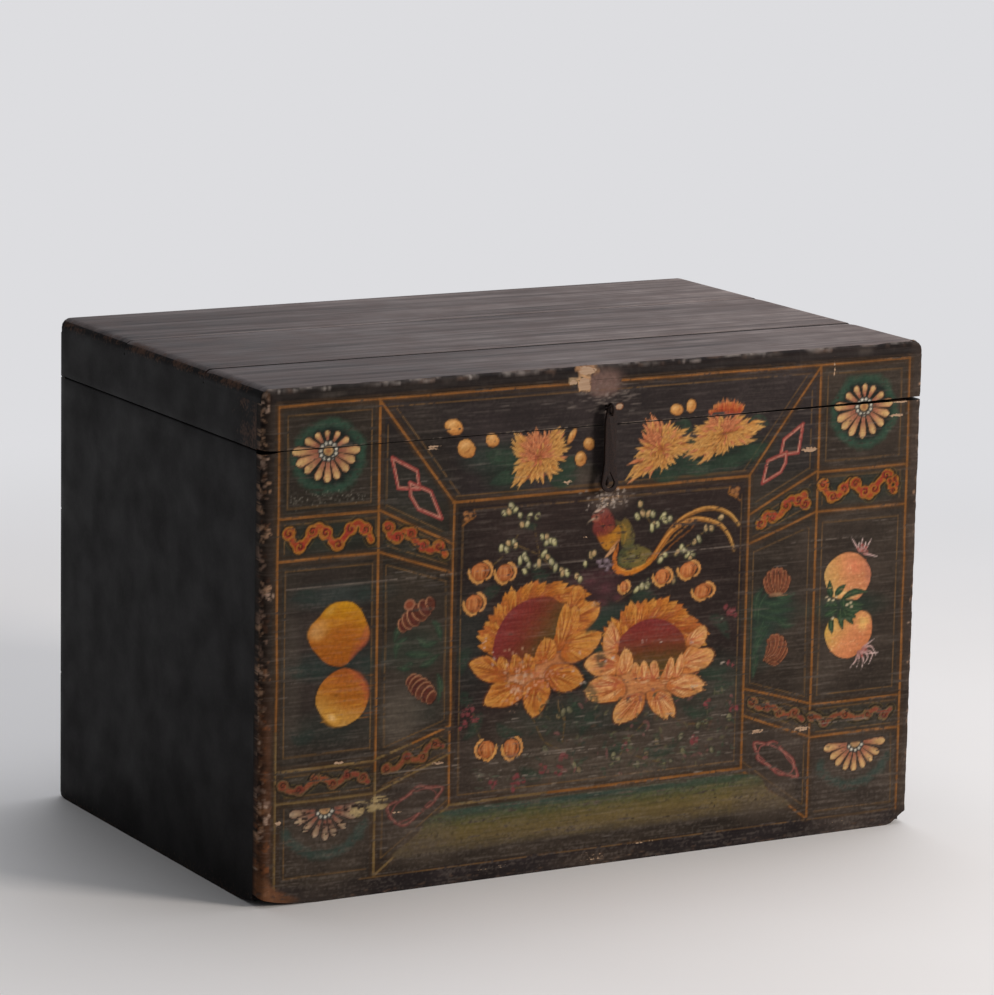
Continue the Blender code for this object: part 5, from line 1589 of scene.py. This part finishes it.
patch([(-420, 4), (-420, 40), (-412, 34), (-404, 22), (-388, 13), (-372, 5), (-390, 2)],
      ("#704a32", "#62412c", "#463225"), (-412, 14), worn=0.1, soft=5, strength=0.85)
CHIP_DEPTH = 0.35
chipped = np.clip((flaking * 0.6 + rubbing * 0.35 + bare - 0.86) / 0.12, 0, 1) * (bare > 0.05)
relief -= CHIP_DEPTH * chipped
print("marks in all:", marks["count"])

# %% [markdown]
# Each vertex of a board reads the canvas at its own place, between the four values round it. Knocks
# along an arris come from a row of random values in the same way.

# %% Values at a board's vertices
WAVES = 700


def at_canvas(values, x, z):
    """Values of the canvas at places in millimetres, blended from the four nearest."""
    u = np.clip((x + HALF_MM) / CANVAS_STEP, 0, len(CANVAS_X) - 1.001)
    w = np.clip(z / CANVAS_STEP, 0, len(CANVAS_Z) - 1.001)
    i, j = u.astype(int), w.astype(int)
    s, t = u - i, w - j
    if values.ndim == 3:
        s, t = s[:, None], t[:, None]
    low = values[j, i] * (1 - s) + values[j, i + 1] * s
    high = values[j + 1, i] * (1 - s) + values[j + 1, i + 1] * s
    return low * (1 - t) + high * t


def wavy(seed, step, places):
    """Smooth noise from -1 to 1 along a line, with a new value every step millimetres."""
    values = np.random.default_rng(seed).uniform(-1, 1, WAVES)
    u = places / step
    i = u.astype(int)
    s = (u - i) ** 2 * (3 - 2 * (u - i))
    return values[i] * (1 - s) + values[i + 1] * s


print("colour in the middle of the front:", at_canvas(canvas, np.array([0.0]), np.array([280.0])).round(3))

# %% [markdown]
# No outline is straight any more. The lowest board's corners are worn away, the top board has lost a
# corner beside the lid, the lid's front is warped, and the upright arrises are round and knocked.

# %% Worn outlines of the front boards
LOWER_HEAD = 133
LID_FOOT, WARP_REACH = 500, 20
CORNER_DROP, CORNER_FROM, CORNER_REACH = 3.0, -398, 22


def broken_corners(x, z):
    """Heights with the worn lower corners taken away, for a board whose head is at 133 mm."""
    left = np.interp(x, (-420, -412, -400, -380, -350), (13.0, 8.5, 5.0, 2.0, 0.0))
    right = np.interp(x, (392, 398, 408, 420), (0.0, 1.5, 9.0, 17.0))
    lift = left + right
    return lift + z * (LOWER_HEAD - lift) / LOWER_HEAD


def unchanged(x, z):
    """Heights of the middle board, whose outline is straight."""
    return z


def dropped_corner(x, z):
    """Heights of the top board with its left upper corner worn down beside the lid."""
    outward = np.clip((CORNER_FROM - x) / CORNER_REACH, 0, 1)
    return z - CORNER_DROP * outward * np.clip((z - LID_FOOT + CORNER_REACH) / CORNER_REACH, 0, 1)


def warped(x, z):
    """Heights of the lid's front with its lower edge warped up towards the right."""
    lift = np.interp(x, (-420, -405, -300, 150, 300, 405, 420), (2.0, 0.8, 0.5, 0.7, 2.0, 3.6, 3.6))
    return z + lift * np.clip(1 - (z - LID_FOOT) / WARP_REACH, 0, 1)


CELL = 1.5
ROUND_LEFT, ROUND_RIGHT = 10.0, 5.0
BITE = {-1: 1.1, 1: 0.7}
BITE_REACH, ARRIS_REACH = 8, 12


def round_arris(x, y, z, front, side, radius):
    """Bends the outer columns of the front round an arris and eats into it."""
    reach = math.ceil(radius / CELL) * CELL
    inset = HALF_MM - side * x
    bent = front & (inset < reach - 0.1)
    angle = np.pi / 2 * (1 - inset / reach)
    knocks = 0.2 + 0.6 * wavy(20 + side, 33, z) + 0.6 * wavy(40 + side, 8, z)
    bite = BITE[side] * np.clip(knocks, 0, 1) * np.clip(1 - inset / BITE_REACH, 0, 1)
    eaten = np.where(front, bite, 0)
    new_inset = np.where(bent, radius * (1 - np.sin(angle)), inset) + eaten
    new_y = y + np.where(bent, radius * (1 - np.cos(angle)), 0) + eaten
    return np.where(inset < ARRIS_REACH, side * (HALF_MM - new_inset), x), new_y


print("arris radii in mm:", ROUND_LEFT, ROUND_RIGHT)

# %% [markdown]
# For baking, each face has a place of its own on one map: a broad strip for the front, one for the
# back, and narrow ones for the four rims.

# %% Places for baking
FRONT, BACK, HEAD, FOOT, LEFT, RIGHT = range(6)
FRONT_STRIP, BACK_START, BACK_STRIP = 0.56, 0.6, 0.25
RIM_START, RIM_STEP, RIM_STRIP = 0.88, 0.04, 0.03
LEFT_START, RIGHT_START, END_STRIP = 0.02, 0.52, 0.46
MARGIN = 0.004


def facing(n):
    """Which of a board's six sides a face belongs to, from its normal."""
    shares = ((FRONT, -n.y), (BACK, n.y), (HEAD, n.z), (FOOT, -n.z))
    named = [side for side, share in shares if share > 0.7]
    return named[0] if named else LEFT if n.x < 0 else RIGHT


def read_values(rows, name, width=1, kind=float):
    """One property of all rows of a mesh, as an array."""
    values = np.empty(len(rows) * width, kind)
    rows.foreach_get(name, values)
    return values


def bake_places(mesh, foot, head):
    """One UV map without overlaps: the front below, the back above it, the four rims on top."""
    layer = mesh.uv_layers.new(name="OFBake")
    places = read_values(mesh.vertices, "co", 3).reshape(-1, 3) / MM
    spots = places[read_values(mesh.loops, "vertex_index", kind=int)]
    side = read_values(mesh.attributes["Side"].data, "value", kind=int)
    side = np.repeat(side, read_values(mesh.polygons, "loop_total", kind=int))
    along = (spots[:, 0] + HALF_MM) / (2 * HALF_MM)
    up = (spots[:, 2] - foot) / (head - foot)
    deep = np.clip((spots[:, 1] - FRONT_MM) / WALL_MM, 0, 1)
    ends = np.where(side == LEFT, LEFT_START, RIGHT_START) + END_STRIP * up
    rims = RIM_START + RIM_STEP * np.clip(side - HEAD, 0, 2) + RIM_STRIP * deep
    u = np.where(side < LEFT, along, ends)
    v = np.select([side == FRONT, side == BACK], [FRONT_STRIP * up, BACK_START + BACK_STRIP * up], rims)
    uv = MARGIN + (1 - 2 * MARGIN) * np.stack((u, v), -1)
    layer.data.foreach_set("uv", uv.astype(np.float32).ravel())


print("strips of the bake map end at", RIM_START + 2 * RIM_STEP + RIM_STRIP)

# %% [markdown]
# A front board starts as a fine grid with create_grid, because each vertex carries the canvas's colour
# there. Its rim is drawn back by the board's thickness and closed. Then it takes its worn outline, its
# colours and its wear.

# %% Front boards
SIDE_BLACK = rgb("#1d1a19")
END_BLACK = 0.65
SIDE_FINISH = {FRONT: 0, BACK: 1, HEAD: 2, FOOT: 2, LEFT: 0, RIGHT: 0}
NEAR = 0.1


def board_mesh(foot, head):
    """A grid on the front, drawn back into a closed board, with each face's side written down."""
    board = bmesh.new()
    across, up = round(2 * HALF_MM / CELL), round((head - foot) / CELL)
    bmesh.ops.create_grid(board, x_segments=across, y_segments=up, size=0.5)
    bmesh.ops.scale(board, vec=(2 * HALF_WIDTH, (head - foot) * MM, 1), verts=board.verts)
    bmesh.ops.rotate(board, matrix=Matrix.Rotation(math.radians(90), 3, "X"), verts=board.verts)
    bmesh.ops.translate(board, vec=(0, FRONT_FACE, (foot + head) / 2 * MM), verts=board.verts)
    rim = [e for e in board.edges if e.is_boundary]
    drawn = bmesh.ops.extrude_edge_only(board, edges=rim)["geom"]
    bmesh.ops.translate(board, vec=(0, WALL, 0),
                        verts=[v for v in drawn if isinstance(v, bmesh.types.BMVert)])
    bmesh.ops.contextual_create(board, geom=[e for e in board.edges if e.is_boundary])
    bmesh.ops.recalc_face_normals(board, faces=board.faces)
    side = board.faces.layers.int.new("Side")
    for face in board.faces:
        face[side] = facing(face.normal)
        face.material_index = SIDE_FINISH[face[side]]
    return board


def painted_board(name, foot, head, node, body, reshape):
    """A front board with the canvas on it. foot and head are heights in millimetres."""
    finishes = [front_lacquer, bare_wood, side_lacquer]
    piece = finish_piece(board_mesh(foot, head), name, finishes, body, "painted_board", node)
    mesh = piece.data
    bake_places(mesh, foot, head)
    mesh.attributes.remove(mesh.attributes["Side"])
    x, y, z = (read_values(mesh.vertices, "co", 3).reshape(-1, 3) / MM).T
    front = y < FRONT_MM + NEAR
    z = reshape(x, z)
    colour, wear = at_canvas(canvas, x, z), at_canvas(bare, x, z)
    y = y - np.where(front, at_canvas(relief, x, z), 0)
    right_end = front & (x > HALF_MM - NEAR)
    colour[right_end] = (1 - END_BLACK) * colour[right_end] + END_BLACK * SIDE_BLACK
    x, y = round_arris(x, y, z, front, -1, ROUND_LEFT)
    x, y = round_arris(x, y, z, front, 1, ROUND_RIGHT)
    colour[~front], wear[~front] = SIDE_BLACK, 0
    mesh.vertices.foreach_set("co", (np.stack((x, y, z), -1) * MM).astype(np.float32).ravel())
    tint = mesh.attributes.new("Tint", "FLOAT_COLOR", "POINT")
    tint.data.foreach_set("color", np.hstack((colour, np.ones((len(x), 1)))).astype(np.float32).ravel())
    mesh.attributes.new("Wear", "FLOAT", "POINT").data.foreach_set("value", wear.astype(np.float32))
    mesh.update()
    mesh.set_sharp_from_angle(angle=SHARP)
    print(name, "faces:", len(mesh.polygons))


def heights(node, part):
    """A board's foot and head. All but the lowest reach down over the joint below them."""
    low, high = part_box(node)
    return low[2] - (0.0 if part == "lower" else JOINT), high[2]


for part, reshape in (("lower", broken_corners), ("middle", unchanged), ("upper", dropped_corner)):
    node = f"front_board_{part}"
    foot, head = heights(node, part)
    painted_board(f"painted_front_{part}", foot / MM, head / MM, node, "chest", reshape)

# %% [markdown]
# The sides and the back are plainer. Their outer arrises are rounder, because the chest was slid and
# carried by them.

# %% Side and back boards
FOOT_RUBBED, FOOT_REACH = 0.3, 30 * MM
BOARD_CELL, BOARD_INSET, BOARD_REACH = 15 * MM, 2 * MM, 0.25
EDGE_ROUND, BACK_ROUND = 1.8 * MM, 10 * MM
# The left wall's lower corners are worn up by a few millimetres, over these lengths.
LEFT_WALL, WORN_BELOW, WORN_FADE = -0.4, 0.12, 0.115
FRONT_RISE, FRONT_REACH = 6, 45 * MM
BACK_RISE, BACK_REACH = 9, 22 * MM


def plain_attributes(made, wear_at):
    """Writes the Wear of a plainly lacquered piece."""
    wear = made.verts.layers.float.new("Wear")
    for v in made.verts:
        v[wear] = wear_at(v.co)


def foot_wear(co):
    """Rubbing along a wall's foot."""
    return FOOT_RUBBED * max(0.0, 1 - co.z / FOOT_REACH)


def plain_board(node, low, high, wanted, radius, inward):
    """A board in plain lacquer, with its inner face left bare."""
    board = box_mesh(low, high)
    round_edges(board, wanted, radius)
    score(board, 2, spread(low[2] + BOARD_INSET, high[2] - BOARD_INSET, BOARD_CELL))
    score(board, 0 if inward.y else 1, spread(-BOARD_REACH, BOARD_REACH, BOARD_CELL))
    for v in board.verts:
        if v.co.x < LEFT_WALL and v.co.z < WORN_BELOW:
            near_front = max(0.0, 1 - (v.co.y - FRONT_FACE - WALL) / FRONT_REACH)
            near_back = max(0.0, 1 - (BACK_FACE - v.co.y) / BACK_REACH)
            rise = (FRONT_RISE * near_front ** 2 + BACK_RISE * near_back ** 2) * MM
            v.co.z += rise * max(0.0, 1 - v.co.z / WORN_FADE)
    plain_attributes(board, foot_wear)
    for face in board.faces:
        face.material_index = 1 if face.normal.dot(inward) > 0.7 else 0
    finish_piece(board, f"lacquered_{node}", [side_lacquer, bare_wood], "chest", "lacquered_board", node)


def at_back_corner(co):
    """Whether a point lies on an upright back arris."""
    return abs(co.x) > HALF_WIDTH - TOUCHING and co.y > BACK_FACE - TOUCHING


def on_edge(x, z):
    """A test for the points of the level edge at an x and a height."""
    def wanted(co):
        return abs(co.x - x) < TOUCHING and abs(co.z - z) < TOUCHING
    return wanted


def nowhere(co):
    """The test for a board with no rounded edge."""
    return False


def side_span(sign):
    """The x values between which a side wall stands."""
    return sorted((sign * HALF_WIDTH, sign * (HALF_WIDTH - WALL)))


for part in ("lower", "middle", "upper"):
    for side, sign in (("left", -1), ("right", 1)):
        node = f"{side}_board_{part}"
        foot, head = heights(node, part)
        x_low, x_high = side_span(sign)
        box_low, box_high = (x_low, FRONT_FACE + WALL, foot), (x_high, BACK_FACE - WALL, head)
        rim = on_edge(sign * HALF_WIDTH, head) if part == "upper" else nowhere
        plain_board(node, box_low, box_high, rim, EDGE_ROUND, Vector((-sign, 0, 0)))
    node = f"back_board_{part}"
    foot, head = heights(node, part)
    box_low, box_high = (-HALF_WIDTH, BACK_FACE - WALL, foot), (HALF_WIDTH, BACK_FACE, head)
    plain_board(node, box_low, box_high, at_back_corner, BACK_ROUND, Vector((0, -1, 0)))
print("side and back boards made")

# %% [markdown]
# The lid is a shallow box: a skirt on each side, and three planks over it. The skirt's front is part
# of the painting. The planks' edges were planed round, and the front one is the most worn.

# %% Lid skirts
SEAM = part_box("lid_front_skirt")[0][2]
PLANK_FOOT, LID_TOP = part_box("lid_plank_front")[0][2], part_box("lid_plank_front")[1][2]
painted_board("painted_lid_front", SEAM / MM, PLANK_FOOT / MM, "lid_front_skirt", "lid", warped)
CORNER_RUBBED, CORNER_RUB_REACH = 0.56, 95 * MM
PATCHY, PATCH_SIZE = 0.3, 15 * MM
SKIRT_CELL, SKIRT_INSET, SKIRT_REACH = 6 * MM, 3 * MM, 0.24


def no_wear(co):
    """The lid's back was never rubbed."""
    return 0.0


def corner_wear(co):
    """Brown rubbing on a lid's side, most of it near the front."""
    rubbed = CORNER_RUBBED * max(0.0, 1 - (co.y - FRONT_FACE) / CORNER_RUB_REACH)
    return rubbed + PATCHY * noise.noise(co / PATCH_SIZE)


for side, sign in (("left", -1), ("right", 1)):
    x_low, x_high = side_span(sign)
    skirt = box_mesh((x_low, FRONT_FACE + WALL, SEAM), (x_high, BACK_FACE - WALL, PLANK_FOOT))
    round_edges(skirt, on_edge(sign * HALF_WIDTH, SEAM), EDGE_ROUND)
    score(skirt, 1, spread(-SKIRT_REACH, SKIRT_REACH, SKIRT_CELL))
    score(skirt, 2, spread(SEAM + SKIRT_INSET, PLANK_FOOT, SKIRT_CELL))
    plain_attributes(skirt, corner_wear)
    finish_piece(skirt, f"lacquered_lid_{side}", [side_lacquer], "lid", "lacquered_board",
                 f"lid_{side}_skirt")
skirt = box_mesh((-HALF_WIDTH, BACK_FACE - WALL, SEAM), (HALF_WIDTH, BACK_FACE, PLANK_FOOT))
round_edges(skirt, at_back_corner, BACK_ROUND, 5)
plain_attributes(skirt, no_wear)
finish_piece(skirt, "lacquered_lid_back", [side_lacquer], "lid", "lacquered_board", "lid_back_skirt")
print("lid skirts from", round(SEAM, 4), "to", round(PLANK_FOOT, 4))

# %% [markdown]
# A plank starts as a box too. Its outer arris is bevelled round, its edges at a seam are chamfered, and
# it is scored into small cells. Then it is cupped at the seam behind it, as drying planks are.

# %% Edges of the lid planks
LID_ARRIS = 11 * MM
SEAM_CHAMFER = 1.8 * MM
SEAM_INSET = 30 * MM
SLIVER = 0.05 * MM
END_INSET, SIDE_INSET = 7 * MM, 12 * MM
PLANK_CELL, RIM_CELL = 6 * MM, 2 * MM
CORNER = {("front", -1): 11 * MM, ("front", 1): 6 * MM, ("rear", -1): 12 * MM, ("rear", 1): 12 * MM}
CUPPED = {"front": 1.3 * MM, "middle": 0.7 * MM, "rear": 0.0}
SCORE_STEP = {"front": 3 * MM, "middle": 14 * MM, "rear": 14 * MM}


def upright_at(made, x, y):
    """The upright edge that stands at a place."""
    return [
        e for e in made.edges
        if all(abs(v.co.x - x) < TOUCHING and abs(v.co.y - y) < TOUCHING for v in e.verts)
    ]


def seam_edges(made, level):
    """The edges at a height that run along a plank where it meets the next one."""
    flat = [e for e in made.edges if all(abs(v.co.z - level) < TOUCHING for v in e.verts)]
    along = [e for e in flat if abs(e.verts[0].co.y - e.verts[1].co.y) < TOUCHING]
    return [e for e in along if abs(e.verts[0].co.y) < BACK_FACE - SEAM_INSET]


def plank_mesh(part, low, high):
    """A lid plank with its arrises rounded, its seams chamfered and its faces scored."""
    foot = PLANK_FOOT - JOINT
    plank = box_mesh((-HALF_WIDTH, low[1], foot), (HALF_WIDTH, high[1], LID_TOP))
    outside = FRONT_FACE if part == "front" else BACK_FACE
    for side in (-1, 1):
        if (part, side) in CORNER:
            bevelled(plank, upright_at(plank, side * HALF_WIDTH, outside), CORNER[part, side], 6)
    inner = seam_edges(plank, LID_TOP)
    upper = [e for e in plank.edges if all(v.co.z > LID_TOP - TOUCHING for v in e.verts)]
    bevelled(plank, [e for e in upper if e not in inner], LID_ARRIS, 4)
    for level in (LID_TOP, foot):
        bevelled(plank, seam_edges(plank, level), SEAM_CHAMFER, 1)
    score(plank, 0, spread(-HALF_WIDTH + END_INSET, HALF_WIDTH - END_INSET, SCORE_STEP[part]))
    score(plank, 1, spread(low[1] + SIDE_INSET, high[1] - SIDE_INSET, PLANK_CELL))
    if part == "front":
        score(plank, 2, spread(PLANK_FOOT, LID_TOP - LID_ARRIS, RIM_CELL))
    for v in plank.verts:
        if v.co.y > high[1] - 2 * SEAM_CHAMFER and v.co.z > LID_TOP - 2 * SEAM_CHAMFER:
            v.co.z -= CUPPED[part]
    bmesh.ops.dissolve_degenerate(plank, dist=SLIVER, edges=plank.edges)
    plank.normal_update()
    return plank


print("lid top at", round(LID_TOP, 4))

# %% [markdown]
# The planks' ends are rubbed brown. The front plank's outer face carries the upper rim of the painting,
# and its arris is bitten by knocks.

# %% Lid planks
TOP, OUTSIDE, PAINTED, UNDERSIDE = range(4)
PAINTED_DEPTH, TINTED_DEPTH, BITE_DEPTH = 8 * MM, 20 * MM, 10 * MM
END_REACH, END_RISE = 20 * MM, 8 * MM
END_RUBBED, END_PATCHY = 0.38, 0.3
BROAD_PATCH, FINE_PATCH = 24 * MM, 8 * MM
ARRIS_RUBBED, ARRIS_RUB_DEPTH = 0.2, 3 * MM
LID_BITE, LID_BITE_LENGTH, LID_BITE_DEPTH = 1.3 * MM, 25 * MM, 6.1 * MM


def plank_finish(face):
    """Which finish a face of a plank takes."""
    n = face.normal
    if n.z < -0.8:
        return UNDERSIDE
    if face.calc_center_median().y < FRONT_FACE + PAINTED_DEPTH and n.y < -0.3 and n.z > -0.5:
        return PAINTED
    return OUTSIDE if abs(n.z) < 0.8 else TOP


def end_wear(co):
    """Rubbing at both ends of the lid, broken into patches."""
    inset = max(0.0, 1 - (HALF_WIDTH - abs(co.x)) / END_REACH)
    upper = min(1.0, max(0.0, (co.z - PLANK_FOOT) / END_RISE))
    broad, fine = noise.noise(co / BROAD_PATCH), noise.noise(co / FINE_PATCH)
    return inset * upper * (END_RUBBED + END_PATCHY * broad + END_PATCHY * fine)


for part in ("front", "middle", "rear"):
    node = f"lid_plank_{part}"
    plank = plank_mesh(part, *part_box(node))
    for face in plank.faces:
        face.material_index = plank_finish(face)
    tint = plank.verts.layers.float_color.new("Tint")
    wear = plank.verts.layers.float.new("Wear")
    for v in plank.verts:
        v[wear] = end_wear(v.co)
        if v.co.y < FRONT_FACE + TINTED_DEPTH:
            x, z = np.array([v.co.x / MM]), np.array([v.co.z / MM])
            v[tint] = (*at_canvas(canvas, x, z)[0], 1.0)
            rubbed = ARRIS_RUBBED if v.co.z > LID_TOP - ARRIS_RUB_DEPTH else 0.0
            v[wear] = max(float(at_canvas(bare, x, z)[0]), rubbed)
            bite = LID_BITE * max(0.0, noise.noise(Vector((v.co.x / LID_BITE_LENGTH, 1.3, 4.2))))
            if v.co.z > LID_TOP - LID_BITE_DEPTH and v.co.y < FRONT_FACE + BITE_DEPTH:
                v.co.z -= bite
    finishes = [lid_wood, side_lacquer, front_lacquer, bare_plank]
    finish_piece(plank, f"worn_{node}", finishes, "lid", "worn_plank", node)
print("lid planks made")

# %% [markdown]
# The bottom planks, the hinges and the nails keep their CAD shapes. They only take their finishes.

# %% Finishes for CAD pieces
IRON_WORDS = ("hinge", "hasp", "staple")
for name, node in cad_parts.items():
    finish = forged_iron if any(word in name for word in IRON_WORDS) else bare_plank
    node.data.materials.clear()
    node.data.materials.append(finish)
print("CAD pieces finished:", len(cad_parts))

# %% [markdown]
# The hasp is a strap of iron bent over an eye at its top, with a teardrop slot in its round end. Its
# CAD shape is right, so a merged copy gets softened edges, as a hammer leaves them.

# %% Hasp
HASP_SOFTENING = 0.35 * MM
FLAT_BEND, SHARP_BEND = math.radians(2), math.radians(50)
strap = bmesh.new()
strap.from_mesh(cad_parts["hasp"].data)
bmesh.ops.remove_doubles(strap, verts=strap.verts, dist=TOUCHING)
bmesh.ops.dissolve_limit(strap, angle_limit=FLAT_BEND, verts=strap.verts, edges=strap.edges)
sharp = [e for e in strap.edges if len(e.link_faces) == 2 and e.calc_face_angle() > SHARP_BEND]
bevelled(strap, sharp, HASP_SOFTENING, 2)
finish_piece(strap, "iron_hasp", [forged_iron], "hasp", "forged_iron", "hasp")
print("hasp softened along", len(sharp), "edges")

# %% [markdown]
# The stage is a plain pale floor, which fades into the background with distance.

# %% Floor
FLOOR_PATCH = 600 * MM
FADE_FROM, FADE_TO = 0.9, 2.4
FLOOR_RADIUS = 14.0
BACKDROP = linear("#dddde0")
floor_finish, tree = start_material("pale_painted_floor")
place = add(tree, "TexCoord", {})["Object"]
patchy = add(tree, "TexNoise", {"Vector": place, "Scale": 1 / FLOOR_PATCH, "Detail": 3.0})[0]
colour = add(tree, "Mix", {0: patchy, 6: linear("#e6e2de"), 7: linear("#efece9")}, data_type="RGBA")[2]
near = add(tree, "BsdfPrincipled", {"Base Color": colour, "Roughness": 0.6,
                                    "Specular IOR Level": 0.3})["BSDF"]
far_away = add(tree, "VectorMath", {0: place}, operation="LENGTH")["Value"]
reach = {"Value": far_away, 1: FADE_FROM, 2: FADE_TO, 3: 0.0, 4: 1.0}
fade = add(tree, "MapRange", reach, interpolation_type="SMOOTHSTEP")[0]
path = add(tree, "LightPath", {})
seen = add(tree, "Math", {0: path["Is Camera Ray"], 1: path["Is Glossy Ray"]}, operation="MAXIMUM")[0]
seen = add(tree, "Math", {0: seen, 1: path["Is Transmission Ray"]}, operation="MAXIMUM")[0]
fade = add(tree, "Math", {0: fade, 1: seen}, operation="MULTIPLY")[0]
far = add(tree, "Emission", {"Color": BACKDROP, "Strength": 1.0})[0]
surface = add(tree, "MixShader", {0: fade, 1: near, 2: far})[0]
add(tree, "OutputMaterial", {"Surface": surface})

ground_mesh = bmesh.new()
bmesh.ops.create_circle(ground_mesh, cap_ends=True, segments=64, radius=FLOOR_RADIUS)
floor_mesh = bpy.data.meshes.new("floor")
ground_mesh.to_mesh(floor_mesh)
ground_mesh.free()
floor_mesh.materials.append(floor_finish)
floor = bpy.data.objects.new("floor", floor_mesh)
scene.collection.objects.link(floor)
print("floor of", FLOOR_RADIUS, "m")

# %% [markdown]
# The main lamp is a broad panel low on the right, in front of the chest. It lights the painted front
# and leaves the left side in shade. A weaker lamp hangs above. The background that the camera sees is
# plain and pale, and the light that it gives is weaker on the left.

# %% Lamps and background
LAMPS = {
    "soft_key": ((2.7, -3.5, 1.55), (1.2, 0.9), 160.0, "#fff7f0"),
    "soft_top": ((0.8, 0.6, 3.4), (3.0, 3.0), 80.0, "#f4f7ff"),
}
LAMP_TARGET = Vector((0.0, -0.1, 0.28))
for name, (place, size, watts, tone) in LAMPS.items():
    lamp = bpy.data.objects.new(name, bpy.data.lights.new(name, "AREA"))
    lamp.data.shape = "RECTANGLE"
    lamp.data.size, lamp.data.size_y = size
    lamp.data.energy = watts
    lamp.data.color = linear(tone)[:3]
    lamp.location = place
    lamp.rotation_euler = (LAMP_TARGET - Vector(place)).to_track_quat("-Z", "Y").to_euler()
    lamp.visible_camera = False
    scene.collection.objects.link(lamp)

world = bpy.data.worlds.new("studio")
world.use_nodes = True
tree = world.node_tree
tree.nodes.clear()
path = add(tree, "LightPath", {})
seen = add(tree, "Math", {0: path["Is Camera Ray"], 1: path["Is Transmission Ray"]}, operation="MAXIMUM")[0]
way = add(tree, "TexCoord", {})["Generated"]
sideways = add(tree, "SeparateXYZ", {"Vector": way})["X"]
strength = add(tree, "MapRange", {"Value": sideways, 1: -0.8, 2: 0.8, 3: 0.12, 4: 0.5})[0]
room = add(tree, "Background", {"Color": linear("#e8ebf0"), "Strength": strength})[0]
backdrop = add(tree, "Background", {"Color": BACKDROP, "Strength": 1.0})[0]
mixed = add(tree, "MixShader", {0: seen, 1: room, 2: backdrop})[0]
add(tree, "OutputWorld", {"Surface": mixed})
scene.world = world
print("lamps:", list(LAMPS))
